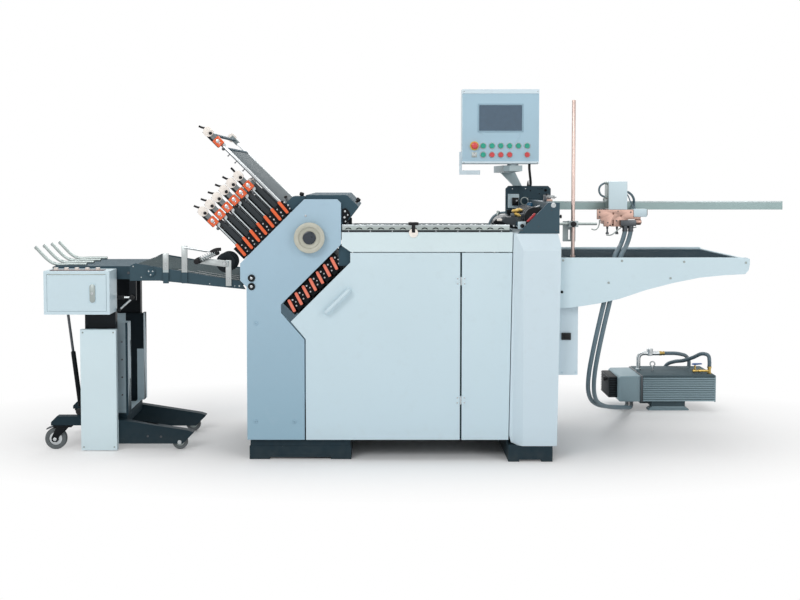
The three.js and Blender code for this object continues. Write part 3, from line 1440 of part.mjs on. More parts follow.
function buildControlBox() {
  const shell = block(controlLeft, controlRight, controlNear, deliveryNear - gap, controlBottom, controlTop);
  const doorway = block(controlLeft + controlDoorInset, controlRight - controlDoorInset, controlNear - overrun,
    controlNear + controlDoorThickness, controlBottom + controlDoorInset, controlTop - controlDoorInset);
  const wall = controlDoorInset + controlWall;
  const room = block(controlLeft + wall, controlRight - wall, controlNear - overrun,
    deliveryNear - gap - controlWall, controlBottom + wall, controlTop - wall);

  const side = controlDoorInset + hingeClearance;
  const lid = block(controlLeft + side, controlRight - side, controlNear, controlNear + controlDoorThickness - gap,
    controlBottom + side, controlTop - side);
  const lock = block(latchX - latchWidth / 2, latchX + latchWidth / 2, controlNear - latchProud, controlNear + gap,
    latchBottom, latchTop);
  part('control_box_door', lid.add(lock), 'panelWhite');

  const knobs = [];
  const base = controlTop - gap;
  for (let i = 0; i < topKnobCount; i += 1) {
    const x = controlLeft + topKnobInset + topKnobRadius + i * topKnobPitch;
    const y = controlNear + topKnobInset;
    knobs.push(bar([x, y, base], [x, y, base + topKnobHeight], topKnobRadius, 8));
  }
  part('control_box', joined([shell.subtract(doorway).subtract(room), ...knobs]), 'panelWhite');
}

function buildStrutAndCrank() {
  const top = new THREE.Vector3(strutTopX, strutY, strutTopZ);
  const foot = new THREE.Vector3(strutFootX, strutY, strutFootZ);
  const length = foot.distanceTo(top);
  const at = (rise) => foot.clone().lerp(top, rise / length).toArray();
  part('strut_rod', bar(at(strutTubeLength - strutRodInside), at(length), strutRodRadius, 8), 'black');
  const outer = bar(at(0), at(strutTubeLength), strutTubeRadius, 10);
  const bore = bar(at(strutFootHeight), at(strutTubeLength + overrun), strutRodRadius + gap, 8);
  part('strut_cylinder', outer.subtract(bore), 'black');

  const gripStart = crankX - crankReach + crankGripLength;
  const crank = joined([
    bar([crankX, deliveryNear - gap, crankZ], [crankX, crankY - crankShaftRadius, crankZ], crankShaftRadius, 8),
    bar([crankX, crankY, crankZ], [gripStart, crankY, crankZ], crankArmRadius, 8),
    bar([gripStart, crankY, crankZ], [crankX - crankReach, crankY, crankZ], crankGripRadius),
  ]);
  part('height_crank', crank, 'black');
}

function bridgeSide(side) {
  const outline = [
    [bridgeLeft, bridgeLeftBottom], [bridgeKnee, bridgeLeftBottom], [bridgeRight, bridgeRightBottom],
    [bridgeRight - postWidth, bridgeRightTop], [bridgeLeft + postWidth, bridgeLeftTop],
    [bridgeLeft, bridgeLeftTop - postWidth / 2],
  ];
  return sidePlate(side, outline, bridgeHalf - bridgePlate, bridgeHalf);
}

// Height of the bridge's upper edge above a place along it.
function bridgeTopAt(x) {
  const left = bridgeLeft + postWidth;
  const right = bridgeRight - postWidth;
  return bridgeLeftTop + (bridgeRightTop - bridgeLeftTop) * (x - left) / (right - left);
}

function buildBridge() {
  const inner = bridgeHalf - bridgePlate + gap;
  const crossBars = [bridgeLeft + postWidth, bridgeRight - postWidth].map((x) => {
    const z = bridgeTopAt(x) - bridgeBarRadius * 2;
    return bar([x, -inner, z], [x, inner, z], bridgeBarRadius);
  });
  const bosses = bothSides((side) => bar([bridgePivotX, side * bridgeHalf - side * gap, bridgePivotZ],
    [bridgePivotX, side * (bridgeHalf + bridgePlate / 2), bridgePivotZ], bridgePivotRadius, 14));
  const frame = [...bothSides(bridgeSide), ...crossBars, ...bosses];

  const start = bridgeLeft + postWidth;
  const end = bridgeRight - postWidth;
  const cords = [];
  const lift = bridgeCordRadius - bridgeBarRadius - gap;
  for (let i = 0; i < bridgeCordCount; i += 1) {
    const y = -bridgeHalf + (i + 1) * 2 * bridgeHalf / (bridgeCordCount + 1);
    cords.push(bar([start, y, bridgeTopAt(start) + lift], [end, y, bridgeTopAt(end) + lift], bridgeCordRadius, 6));
  }

  const postFoot = bridgePivotZ - postWidth * 2;
  const uprights = [[postLeftX, postFoot, postLeftTop], [postMidX, postFoot, postMidTop],
    [postRightX, bridgeTopAt(postRightX) - postWidth, pressDiscZ + postWidth / 2]];
  const posts = uprights.map(([x, z0, z1]) => block(x - postWidth / 2, x + postWidth / 2,
    -bridgeHalf - postThickness, -bridgeHalf + gap, z0, z1));
  const armOuter = bridgeHalf + 2 * postThickness;
  const details = [
    flatBar([postMidX, postMidTop - postThickness], [postMidX + postMidReach, postMidTop - postWidth],
      postThickness, -bridgeHalf - postThickness, -bridgeHalf + gap),
    flatBar([pressArmX, pressArmZ], [postRightX, pressDiscZ], postWidth,
      -armOuter, -bridgeHalf - postThickness + gap),
    bar([pressArmX, -armOuter + gap, pressArmZ], [pressArmX, springY, pressArmZ], springRodRadius, 8),
  ];
  const shaftBore = bar([pressDiscX, -armOuter - overrun, pressDiscZ],
    [pressDiscX, pressShaftEnd + overrun, pressDiscZ], pressShaftRadius + 2 * gap, 8);
  const whole = joined([...frame, ...cords, ...posts, ...details, ...springGuide()]);
  part('bridge_frame', whole.subtract(shaftBore), 'frameDark');

  const shaft = bar([pressDiscX, -armOuter, pressDiscZ], [pressDiscX, pressShaftEnd, pressDiscZ],
    pressShaftRadius, 8);
  const wheels = [shaft];
  for (const y of [pressDiscNearY, pressDiscFarY]) {
    wheels.push(plateY(circle(pressDiscX, pressDiscZ, pressDiscRadius, 16), y - pressDiscWidth / 2,
      y + pressDiscWidth / 2));
  }
  part('press_wheels', joined(wheels), 'rubber');
}

// The pressing spring: one unbroken wire, wound by a formula round its guide rod.
class SpringPath extends THREE.Curve {
  constructor(centre, along, across) {
    super();
    Object.assign(this, { centre, along, across, third: along.clone().cross(across) });
  }

  getPoint(t, target = new THREE.Vector3()) {
    const turn = 2 * Math.PI * springTurns * t;
    return target.copy(this.centre)
      .addScaledVector(this.along, springLength * t)
      .addScaledVector(this.across, springRadius * Math.cos(turn))
      .addScaledVector(this.third, springRadius * Math.sin(turn));
  }
}

function springLine() {
  const along = new THREE.Vector3(Math.cos(springLean), 0, Math.sin(springLean));
  return { foot: new THREE.Vector3(pressArmX, springY, pressArmZ), along };
}

function springGuide() {
  const { foot, along } = springLine();
  const at = (distance) => foot.clone().addScaledVector(along, distance).toArray();
  const springEnd = springKnobLength + springLength + 2 * springWire + gap;
  return [
    bar(at(0), at(springEnd + springKnobLength), springRodRadius, 8),
    bar(at(0), at(springKnobLength - gap), springKnobRadius),
    bar(at(springEnd), at(springEnd + springKnobLength), springKnobRadius),
  ];
}

// Least clearance between turns of the wire, measured on points of its centre line at least half a turn apart.
function leastSpringGap(path) {
  const steps = springTurns * springTurnSteps;
  const points = path.getPoints(steps);
  let least = Infinity;
  points.forEach((point, i) => {
    for (const other of points.slice(i + springTurnSteps / 2)) {
      least = Math.min(least, point.distanceTo(other) - 2 * springWire);
    }
  });
  return least;
}

function buildSpring() {
  const { foot, along } = springLine();
  const path = new SpringPath(foot.addScaledVector(along, springKnobLength + springWire), along, axisY);
  const ring = [];
  for (let i = 0; i < springWireSides; i += 1) {
    const turn = 2 * Math.PI * i / springWireSides;
    ring.push(new THREE.Vector2(springWire * Math.cos(turn), springWire * Math.sin(turn)));
  }
  const wire = new THREE.ExtrudeGeometry(new THREE.Shape(ring), {
    extrudePath: path, steps: springTurns * springTurnSteps, bevelEnabled: false,
  });
  console.log(`press_spring: least gap to itself ${leastSpringGap(path).toFixed(2)} mm`);
  part('press_spring', solidOf(wire), 'steel');
}

buildFeet();
buildSidePlates();
buildHood();
buildFoldRollers();
buildBucklePlates();
buildLowerPlates();
buildHandWheel();
buildCabinet();
buildRegisterTable();
buildFeeder();
buildFeederHead();
buildPanel();
buildSuctionHead();
buildTray();
buildSideGuide();
buildPump();
buildHoses();
buildDeliveryBase();
buildCaster('near', -1, -casterTrail);
buildCaster('far', 1, casterTrail);
buildLift();
buildControlBox();
buildStrutAndCrank();
buildBridge();
buildSpring();

export default machine;
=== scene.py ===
import math
import bpy
from mathutils import Matrix, Vector


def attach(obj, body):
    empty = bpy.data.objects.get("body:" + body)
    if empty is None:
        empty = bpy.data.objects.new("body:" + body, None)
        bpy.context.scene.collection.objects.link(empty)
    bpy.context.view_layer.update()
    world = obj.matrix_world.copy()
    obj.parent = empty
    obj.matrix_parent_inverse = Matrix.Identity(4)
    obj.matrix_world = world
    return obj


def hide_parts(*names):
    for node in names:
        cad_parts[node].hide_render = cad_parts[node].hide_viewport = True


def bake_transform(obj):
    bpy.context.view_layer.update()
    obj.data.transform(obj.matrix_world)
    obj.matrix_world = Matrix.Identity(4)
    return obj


# Looks of the paper folding machine. Sizes are written in millimetres and made metres by the makers below.
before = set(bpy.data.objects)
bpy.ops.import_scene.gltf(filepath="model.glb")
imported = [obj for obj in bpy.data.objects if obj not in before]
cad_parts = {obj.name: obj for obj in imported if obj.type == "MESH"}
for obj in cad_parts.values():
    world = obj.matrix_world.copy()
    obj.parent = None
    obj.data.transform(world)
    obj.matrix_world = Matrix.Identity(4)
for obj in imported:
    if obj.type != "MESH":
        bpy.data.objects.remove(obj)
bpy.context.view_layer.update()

MM = 0.001
FOLD = Matrix.Rotation(math.radians(45), 4, "Y")
NEAR = -370  # outer face of the near plate, and of all that is flush with it
OUT, BACK, UP, DOWN, LEFT, RIGHT = (0, -1, 0), (0, 1, 0), (0, 0, 1), (0, 0, -1), (-1, 0, 0), (1, 0, 0)
SIDES = (("near", -1), ("far", 1))
ANY = None  # an open side of a zone
DUST = (150, 148, 140)


# ---------------------------------------------------------------- finishes

def linear(colour):
    """A colour written 0 to 255, as the screen shows it, in linear numbers."""
    def channel(value):
        value = max(0.0, min(1.0, value / 255))
        return value / 12.92 if value <= 0.04045 else ((value + 0.055) / 1.055) ** 2.4
    return tuple(channel(value) for value in colour) + (1.0,)


def shade(colour, share):
    return linear(tuple(value * share for value in colour))


class Value:
    """A socket of a tree. Operators between values add Math nodes."""

    def __init__(self, owner, socket):
        self.owner = owner
        self.socket = socket

    def math(self, operation, *values):
        return self.owner.node("ShaderNodeMath", {"operation": operation}, dict(enumerate(values)))

    def __add__(self, other):
        return self.math("ADD", self, other)

    def __sub__(self, other):
        return self.math("SUBTRACT", self, other)

    def __rsub__(self, other):
        return self.math("SUBTRACT", other, self)

    def __mul__(self, other):
        return self.math("MULTIPLY", self, other)

    def __gt__(self, other):
        return self.math("GREATER_THAN", self, other)

    def __lt__(self, other):
        return self.math("LESS_THAN", self, other)

    __radd__ = __add__
    __rmul__ = __mul__


class Tree:
    """A node tree, of a material or of the world."""

    def __init__(self, tree):
        self.tree = tree

    def feed(self, value, socket):
        """Links a value to a socket, or sets the socket to a constant."""
        if isinstance(value, Value):
            self.tree.links.new(value.socket, socket)
        else:
            socket.default_value = value

    def node(self, kind, settings=None, inputs=None, output=0):
        made = self.tree.nodes.new(kind)
        for key, setting in (settings or {}).items():
            setattr(made, key, setting)
        for key, value in (inputs or {}).items():
            self.feed(value, made.inputs[key])
        return Value(self, made.outputs[output])

    def seen(self, *rays):
        """1 for any of the named kinds of ray."""
        first, *rest = [self.node("ShaderNodeLightPath", output=f"Is {ray} Ray") for ray in rays]
        for other in rest:
            first = first.math("MAXIMUM", first, other)
        return first


class Finish(Tree):
    """A material with its node tree, and the slot that it stands for."""

    def __init__(self, name, slot, **fixed):
        self.material = bpy.data.materials.new(name)
        self.material.use_nodes = True
        super().__init__(self.material.node_tree)
        self.shader = self.tree.nodes["Principled BSDF"]
        self.slot = slot
        self.place = self.node("ShaderNodeTexCoord", output="Object")
        self.use(**fixed)

    def axis(self, number):
        return self.node("ShaderNodeSeparateXYZ", inputs={0: self.place}, output=number)

    def noise(self, scale, detail=2.0, stretch=None):
        vector = self.place
        if stretch:
            vector = self.node("ShaderNodeMapping", inputs={"Vector": vector, "Scale": stretch})
        return self.node("ShaderNodeTexNoise", inputs={"Vector": vector, "Scale": scale, "Detail": detail})

    def ramp(self, value, low, high):
        """0 below low and 1 above high."""
        return self.node("ShaderNodeMapRange", inputs={0: value, 1: low, 2: high})

    def mix(self, factor, first, second):
        return self.node("ShaderNodeMix", {"data_type": "RGBA"}, {0: factor, 6: first, 7: second}, 2)

    def bump(self, height, strength, distance):
        return self.node("ShaderNodeBump", inputs={"Height": height, "Strength": strength, "Distance": distance})

    def within(self, box):
        """1 inside a box of millimetres written (x0, x1, y0, y1, z0, z1), where ANY leaves a side open."""
        mask = None
        for number, limit in enumerate(box):
            if limit is not ANY:
                axis = self.axis(number // 2)
                test = axis < limit * MM if number % 2 else axis > limit * MM
                mask = mask * test if mask else test
        return mask

    def use(self, **sockets):
        """Sets or links the shader's sockets and returns the finish."""
        for name, value in sockets.items():
            self.feed(value, self.shader.inputs[name.replace("_", " ")])
        return self


def painted(name, colour, slot, roughness=0.4, peel=0.12, dust=0.0, zones=(), gloss=0.5, foot=None):
    """Powder-coated sheet: soft clouds, rubbed patches, orange peel and dust near the floor. A foot colour, where
    given, is painted shade: the sheet grows darker towards the floor.
    """
    finish = Finish(name, slot, Specular_IOR_Level=gloss)
    clouds = finish.noise(2.4, 3.0)
    patches = finish.noise(26.0, 3.0)
    base = finish.mix(clouds, shade(colour, 0.965), shade(colour, 1.03))
    # Painted shade: below about 1.1 m the colour blends into the darker foot colour, as light falling off towards the
    # floor.
    if foot:
        base = finish.mix(1 - finish.ramp(finish.axis(2), 0.1, 1.1), base, linear(foot))
    base = finish.mix(finish.ramp(patches, 0.58, 0.78) * 0.25, base, shade(colour, 0.93))
    rough = roughness + (patches - 0.5) * 0.16
    metallic = 0.0
    for box, tint, zone_roughness, zone_metallic in zones:
        mask = finish.within(box)
        base = finish.mix(mask, base, finish.mix(clouds, shade(tint, 0.96), shade(tint, 1.03)))
        rough = rough * (1 - mask) + mask * (zone_roughness + (patches - 0.5) * 0.12)
        if zone_metallic or isinstance(metallic, Value):
            metallic = (1 - mask) * metallic + mask * zone_metallic
    if dust:
        low = 1 - finish.ramp(finish.axis(2), 0.0, 0.16)
        base = finish.mix(low * dust * patches, base, linear(DUST))
    skin = finish.bump(finish.noise(620.0, 1.0), peel, 0.0006)
    return finish.use(Base_Color=base, Roughness=rough, Metallic=metallic, Normal=skin)


def metal(name, colour, slot, roughness=0.3, stretch=(1, 1, 1), tarnish=0.12):
    """Machined or drawn metal: a fine grain, soft tarnish and uneven polish."""
    finish = Finish(name, slot)
    lines = finish.noise(500.0, 2.0, stretch)
    stains = finish.noise(34.0, 3.0)
    base = finish.mix(stains, shade(colour, 1 - tarnish), shade(colour, 1.04))
    base = finish.mix(lines * 0.3, base, shade(colour, 0.8))
    rough = roughness + (lines - 0.5) * 0.14 + (stains - 0.5) * 0.12
    return finish.use(Base_Color=base, Roughness=rough, Metallic=1.0, Normal=finish.bump(lines, 0.1, 0.0003))


def moulded(name, colour, slot, roughness=0.45, coat=0.0, gloss=0.5, strength=0.15, grain=700.0):
    """Moulded plastic, rubber or enamel with a fine skin and light handling marks."""
    finish = Finish(name, slot, Coat_Weight=coat, Specular_IOR_Level=gloss)
    marks = finish.noise(45.0, 3.0)
    base = finish.mix(marks, shade(colour, 0.93), shade(colour, 1.05))
    skin = finish.bump(finish.noise(grain, 2.0), strength, 0.0004)
    return finish.use(Base_Color=base, Roughness=roughness + (marks - 0.5) * 0.18, Normal=skin)


# The foot colours here are painted shade: the white and blue sheets grow darker towards the floor.
white_paint = painted("white_paint", (210, 229, 236), "panel_white", 0.38, dust=0.25, foot=(198, 219, 229),
                      gloss=0.35)
blue_paint = painted("blue_paint", (172, 199, 216), "plate_blue", foot=(146, 178, 195), gloss=0.35)
slate_paint = painted("slate_paint", (60, 82, 93), "hood_dark", 0.6, gloss=0.06)
frame_paint = painted("frame_paint", (48, 68, 78), "frame_dark", 0.5, gloss=0.2)
foot_paint = painted("foot_paint", (27, 47, 57), "foot_black", 0.55, dust=0.12, gloss=0.1)
charcoal_paint = painted("charcoal_paint", (50, 57, 62), "frame_dark", 0.5, 0.2, gloss=0.2)
black_paint = painted("black_paint", (22, 25, 28), "black_metal", 0.5, gloss=0.08)
bezel_paint = painted("bezel_paint", (150, 180, 196), "screen", gloss=0.3)
sheet_steel = painted("sheet_steel", (92, 102, 106), "plate_steel", 0.62, gloss=0.04)
arm_grey = painted("arm_grey", (134, 146, 148), "bright_steel", 0.45, gloss=0.25)
grate_paint = painted("grate_paint", (46, 52, 56), "frame_dark", 0.42, 0.3, gloss=0.2)
strip_brown = painted("strip_brown", (112, 88, 86), "frame_dark", 0.5, gloss=0.2)
guide_metal = painted("guide_metal", (178, 190, 192), "guide_metal")
pump_paint = painted("pump_paint", (146, 168, 176), "pump_grey", 0.5, 0.3, gloss=0.2)
# The pump grey painted darker as shade: for the top, the core seen between the ribs and the saddle under the body.
pump_top = painted("pump_top", (86, 102, 108), "pump_grey", 0.6, 0.3, gloss=0.05)
bright_steel = metal("bright_steel", (205, 210, 212), "bright_steel", 0.26)
drawn_steel = metal("drawn_steel", (196, 204, 206), "plate_steel", 0.32, (0.04, 1, 1))
rail_steel = metal("rail_steel", (172, 182, 180), "frame_dark", 0.42, (0.03, 1, 1))
roller_steel = metal("roller_steel", (178, 184, 186), "roller_steel", 0.3, (1, 0.03, 1))
spring_wire = metal("spring_wire", (190, 196, 198), "spring_steel", 0.25)
charcoal_metal = metal("charcoal_metal", (92, 96, 100), "frame_dark", 0.4)
cast_alloy = metal("cast_alloy", (190, 196, 196), "frame_dark", 0.4)
brass = metal("brass", (206, 176, 104), "gear_copper", 0.28)
copper_plate = metal("copper_plate", (214, 178, 164), "gear_copper", 0.5, tarnish=0.25)
rose_steel = metal("rose_steel", (206, 184, 176), "guide_metal", 0.34, (1, 1, 0.04))
orange_plastic = moulded("orange_plastic", (232, 98, 44), "bright_steel", 0.4, 0.2)
salmon_plastic = moulded("salmon_plastic", (236, 124, 98), "frame_dark", 0.42, 0.15)
cream_plastic = moulded("cream_plastic", (250, 238, 230), "bright_steel", 0.4, 0.2)
wheel_plastic = moulded("wheel_plastic", (190, 190, 176), "wheel_cream", 0.42)
yellow_plastic = moulded("yellow_plastic", (236, 200, 60), "housing_white", 0.4)
navy_plastic = moulded("navy_plastic", (28, 40, 52), "wheel_cream", 0.3, 0.3)
black_plastic = moulded("black_plastic", (20, 21, 24), "black_metal", 0.4, gloss=0.25, strength=0.25)
lever_blue = moulded("lever_blue", (52, 96, 158), "pump_grey", 0.4)
green_enamel = moulded("green_enamel", (20, 166, 140), "button_green", 0.3, 0.4)
red_enamel = moulded("red_enamel", (216, 70, 72), "button_red", 0.3, 0.4)
teal_enamel = moulded("teal_enamel", (20, 106, 146), "frame_dark", 0.3, 0.3)
red_strip = moulded("red_strip", (176, 50, 56), "frame_dark", 0.4)
drum_rubber = moulded("drum_rubber", (38, 40, 42), "drum_rubber", 0.7, gloss=0.2, strength=0.4, grain=900.0)
tyre_rubber = moulded("tyre_rubber", (92, 98, 100), "wheel_rubber", 0.68, strength=0.4)
disc_rubber = moulded("disc_rubber", (42, 50, 55), "black_rubber", 0.6, gloss=0.2, strength=0.35)
belt_skin = moulded("belt_skin", (86, 106, 116), "frame_dark", 0.62, strength=0.35)
hose_skin = moulded("hose_skin", (96, 116, 126), "hose_grey", 0.5, strength=0.3)
cable_skin = moulded("cable_skin", (26, 28, 30), "black_rubber", 0.5, strength=0.3)
cord_skin = moulded("cord_skin", (112, 124, 126), "frame_dark", 0.6, gloss=0.1)
screen_glass = moulded("screen_glass", (70, 94, 114), "screen", 0.16, 0.5, strength=0.0, grain=40.0)


# ---------------------------------------------------------------- shapes

def only(piece):
    bpy.ops.object.select_all(action="DESELECT")
    piece.select_set(True)
    bpy.context.view_layer.objects.active = piece


def mode(name):
    bpy.ops.object.mode_set(mode=name)


def picking(piece, kind):
    """Opens a piece in edit mode to pick edges or faces, with none picked yet."""
    only(piece)
    mode("EDIT")
    bpy.ops.mesh.select_mode(type=kind)
    bpy.ops.mesh.select_all(action="DESELECT")


def picked():
    """Opens the active piece in edit mode with all of it picked."""
    mode("EDIT")
    bpy.ops.mesh.select_all(action="SELECT")


def added(name):
    """Names the primitive just added and puts its place into its mesh."""
    piece = bpy.context.object
    piece.name = piece.data.name = name
    bpy.ops.object.transform_apply(location=True, rotation=True, scale=True)
    return piece


def bevelled(piece, width, segments=2, angle=30):
    picking(piece, "EDGE")
    bpy.ops.mesh.edges_select_sharp(sharpness=math.radians(angle))
    bpy.ops.mesh.bevel(offset=width * MM, segments=segments, affect="EDGES", clamp_overlap=True)
    mode("OBJECT")
    return piece


def dished(piece, way, rim, slope, depth):
    """Sinks the face that looks one way, inside a rim."""
    picking(piece, "FACE")
    mode("OBJECT")
    for face in piece.data.polygons:
        face.select = face.normal.dot(Vector(way)) > 0.9
    mode("EDIT")
    bpy.ops.mesh.inset(thickness=rim * MM, depth=0.0)
    bpy.ops.mesh.inset(thickness=slope * MM, depth=-depth * MM)
    mode("OBJECT")
    return piece


def about(middle, half):
    return middle - half, middle + half


def sided(side, inner, outer):
    """The span between two distances from the middle plane, on one side."""
    return sorted((side * inner, side * outer))


def block(name, x, y, z, edge=1.0, segments=2):
    """A box between two places on each axis, with its edges rounded."""
    bpy.ops.object.select_all(action="DESELECT")
    spans = (x, y, z)
    bpy.ops.mesh.primitive_cube_add(
        size=1, location=[sum(span) / 2 * MM for span in spans],
        scale=[(span[1] - span[0]) * MM for span in spans])
    piece = added(name)
    return bevelled(piece, edge, segments) if edge else piece


def outward(piece):
    """Merges doubles and turns every face outwards."""
    only(piece)
    picked()
    bpy.ops.mesh.remove_doubles(threshold=0.000001)
    bpy.ops.mesh.normals_make_consistent(inside=False)
    mode("OBJECT")


def plate(name, outline, near, far, edge=0.0, segments=2):
    """A plate whose outline is drawn in X and Z, extruded from near to far along Y."""
    bpy.ops.object.select_all(action="DESELECT")
    bpy.ops.mesh.primitive_circle_add(vertices=len(outline), radius=1, fill_type="NGON")
    piece = added(name)
    for vertex, (x, z) in zip(piece.data.vertices, outline):
        vertex.co = (x * MM, near * MM, z * MM)
    picked()
    bpy.ops.mesh.extrude_region_move(TRANSFORM_OT_translate={"value": (0, (far - near) * MM, 0)})
    mode("OBJECT")
    outward(piece)
    return bevelled(piece, edge, segments) if edge else piece


def aimed(piece, start, direction):
    """Turns a piece made along +Z to a direction and moves it to its start."""
    turn = Vector(UP).rotation_difference(Vector(direction).normalized()).to_matrix().to_4x4()
    piece.data.transform(Matrix.Translation(Vector(start) * MM) @ turn)
    return piece


def turned(name, start, direction, profile, sides=32, edge=0.0):
    """A turned piece: a disc extruded and resized step by step through (radius, distance along)."""
    bpy.ops.object.select_all(action="DESELECT")
    radius, along = profile[0]
    bpy.ops.mesh.primitive_circle_add(
        vertices=sides, radius=radius * MM, fill_type="NGON", location=(0, 0, along * MM))
    piece = added(name)
    picked()
    for next_radius, next_along in profile[1:]:
        bpy.ops.mesh.extrude_region_move(TRANSFORM_OT_translate={"value": (0, 0, (next_along - along) * MM)})
        share = next_radius / radius
        bpy.ops.transform.resize(value=(share, share, 1), center_override=(0, 0, next_along * MM))
        radius, along = next_radius, next_along
    mode("OBJECT")
    outward(piece)
    if edge:
        bevelled(piece, edge)
    return aimed(piece, start, direction)


def smooth(points, steps=8):
    """Points on the centripetal curve through given points."""
    stops = [Vector(point) for point in points]
    stops = [2 * stops[0] - stops[1], *stops, 2 * stops[-1] - stops[-2]]
    line = []
    for i in range(1, len(stops) - 2):
        p0, p1, p2, p3 = stops[i - 1:i + 3]
        t0, t1, t2 = [max((b - a).length ** 0.5, 1e-4) for a, b in ((p0, p1), (p1, p2), (p2, p3))]
        m1 = ((p1 - p0) / t0 - (p2 - p0) / (t0 + t1) + (p2 - p1) / t1) * t1
        m2 = ((p2 - p1) / t1 - (p3 - p1) / (t1 + t2) + (p3 - p2) / t2) * t1
        for step in range(steps):
            t = step / steps
            line.append(p1 * (2 * t ** 3 - 3 * t ** 2 + 1) + m1 * (t ** 3 - 2 * t ** 2 + t)
                        + p2 * (3 * t ** 2 - 2 * t ** 3) + m2 * (t ** 3 - t ** 2))
    line.append(stops[-2])
    return line


def rod(name, points, radius, steps=6, sides=3):
    """A bent rod, tube or wire: a round curve of one open spline, made a mesh."""
    line = smooth(points, steps) if steps else points
    curve = bpy.data.curves.new(name, "CURVE")
    curve.dimensions = "3D"
    curve.bevel_depth = radius * MM
    curve.bevel_resolution = sides
    curve.use_fill_caps = True
    spline = curve.splines.new("POLY")
    spline.points.add(len(line) - 1)
    for stop, point in zip(spline.points, line):
        stop.co = (*(Vector(point) * MM), 1.0)
    piece = bpy.data.objects.new(name, curve)
    bpy.context.collection.objects.link(piece)
    only(piece)
    bpy.ops.object.convert(target="MESH")
    return bpy.context.object


def copied(piece, name, matrix):
    """A copy with its own mesh, moved by a matrix."""
    twin = piece.copy()
    twin.data = piece.data.copy()
    twin.name = twin.data.name = name
    bpy.context.collection.objects.link(twin)
    twin.data.transform(matrix)
    if matrix.determinant() < 0:
        twin.data.flip_normals()
    return twin


def moved(x=0.0, y=0.0, z=0.0):
    return Matrix.Translation(Vector((x, y, z)) * MM)


def folded(piece):
    """Lays a piece drawn in the fold group's own axes into the machine."""
    piece.data.transform(FOLD)
    return piece


def cut(piece, *cutters):
    """Cuts holes in a piece and takes the cutters away."""
    for cutter in cutters:
        hole = piece.modifiers.new("hole", "BOOLEAN")
        hole.operation = "DIFFERENCE"
        hole.solver = "EXACT"
        hole.object = cutter
        only(piece)
        bpy.ops.object.modifier_apply(modifier=hole.name)
        bpy.data.objects.remove(cutter)
    return piece


def circle(radius, steps):
    """Points round the origin."""
    turns = [math.tau * step / steps for step in range(steps)]
    return [(radius * math.cos(turn), radius * math.sin(turn)) for turn in turns]


# ---------------------------------------------------------------- finished pieces

def shaded(piece, finish, angle):
    """Puts on a finish, and smooths the edges that are flatter than an angle."""
    if angle:
        only(piece)
        bpy.ops.object.shade_smooth_by_angle(angle=math.radians(angle))
    piece.data.materials.clear()
    piece.data.materials.append(finish.material)


def ready(piece, finish, body="machine", node=None, angle=35):
    """Gives a piece its finish and its body. It may stand for a solid, its node."""
    shaded(piece, finish, angle)
    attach(piece, body)
    if node:
        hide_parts(node)
    return piece


def bar(name, x, y, z, finish, edge=1.0, body="machine", node=None, segments=2):
    return ready(block(name, x, y, z, edge, segments), finish, body, node)


def fold_bar(name, x, y, z, finish, edge=1.0, body="machine", node=None):
    return ready(folded(block(name, x, y, z, edge)), finish, body, node)


def slab(name, outline, near, far, finish, edge=0.0, body="machine", node=None, segments=2):
    return ready(plate(name, outline, near, far, edge, segments), finish, body, node)


def lathe(name, start, direction, profile, finish, sides=32, body="machine", node=None, angle=35, edge=0.0):
    return ready(turned(name, start, direction, profile, sides, edge), finish, body, node, angle)


def bent(name, points, radius, finish, body="machine", steps=6, sides=3, angle=50, node=None):
    return ready(rod(name, points, radius, steps, sides), finish, body, node, angle)


def ring(name, start, direction, loop, finish, sides=40, body="machine", node=None, angle=35):
    """A ring: a closed loop of (radius, distance along) spun round its axis."""
    bpy.ops.object.select_all(action="DESELECT")
    bpy.ops.mesh.primitive_circle_add(vertices=len(loop), radius=1, fill_type="NOTHING")
    piece = added(name)
    for vertex, (radius, along) in zip(piece.data.vertices, loop):
        vertex.co = (radius * MM, 0, along * MM)
    picked()
    bpy.ops.mesh.spin(steps=sides, angle=math.tau, center=(0, 0, 0), axis=(0, 0, 1))
    mode("OBJECT")
    outward(piece)
    return ready(aimed(piece, start, direction), finish, body, node, angle)


def knob(name, at, direction, radius, length, body="machine"):
    """A black turned knob with a waist and a domed end."""
    lathe(name, at, direction, [
        (radius * 0.55, 0), (radius * 0.55, length * 0.3), (radius * 0.95, length * 0.42), (radius, length * 0.55),
        (radius, length * 0.82), (radius * 0.86, length * 0.94), (radius * 0.5, length)],
        black_plastic, 24, body)


def stem(name, start, end, radius, finish=bright_steel, body="machine", sides=16):
    """A turned pin with chamfered ends."""
    run = Vector(end) - Vector(start)
    lathe(name, start, run, [
        (radius * 0.8, 0), (radius, radius * 0.25), (radius, run.length - radius * 0.25),
        (radius * 0.8, run.length)], finish, sides, body)


SCREW_RADIUS = 10
screw_head = turned("screw", (0, 0, 0), UP, [(SCREW_RADIUS, -1), (SCREW_RADIUS, 4.5), (8.6, 5.8)], 24)
cut(screw_head, turned("socket", (0, 0, 0), UP, [(4.2, 2), (4.2, 10)], 6))
only(screw_head)
bpy.ops.object.shade_smooth_by_angle(angle=math.radians(35))
screw_mesh = screw_head.data
bpy.data.objects.remove(screw_head)


def screw(name, at, direction, radius, finish=bright_steel, body="machine"):
    """A socket-head screw: chamfered head with a hexagonal hole, scaled from the head above."""
    piece = bpy.data.objects.new(name, screw_mesh.copy())
    piece.data.name = name
    bpy.context.collection.objects.link(piece)
    piece.data.transform(Matrix.Scale(radius / SCREW_RADIUS, 4))
    ready(aimed(piece, at, direction), finish, body, angle=0)


def screws(name, depth, places, radius=None, finish=bright_steel, body="machine", way=OUT):
    """Numbered screws on one face, at (x, z), or (x, z, radius) where they differ."""
    for i, (x, z, *own) in enumerate(places):
        screw(f"{name}_{i + 1}", (x, depth, z), way, own[0] if own else radius, finish, body)


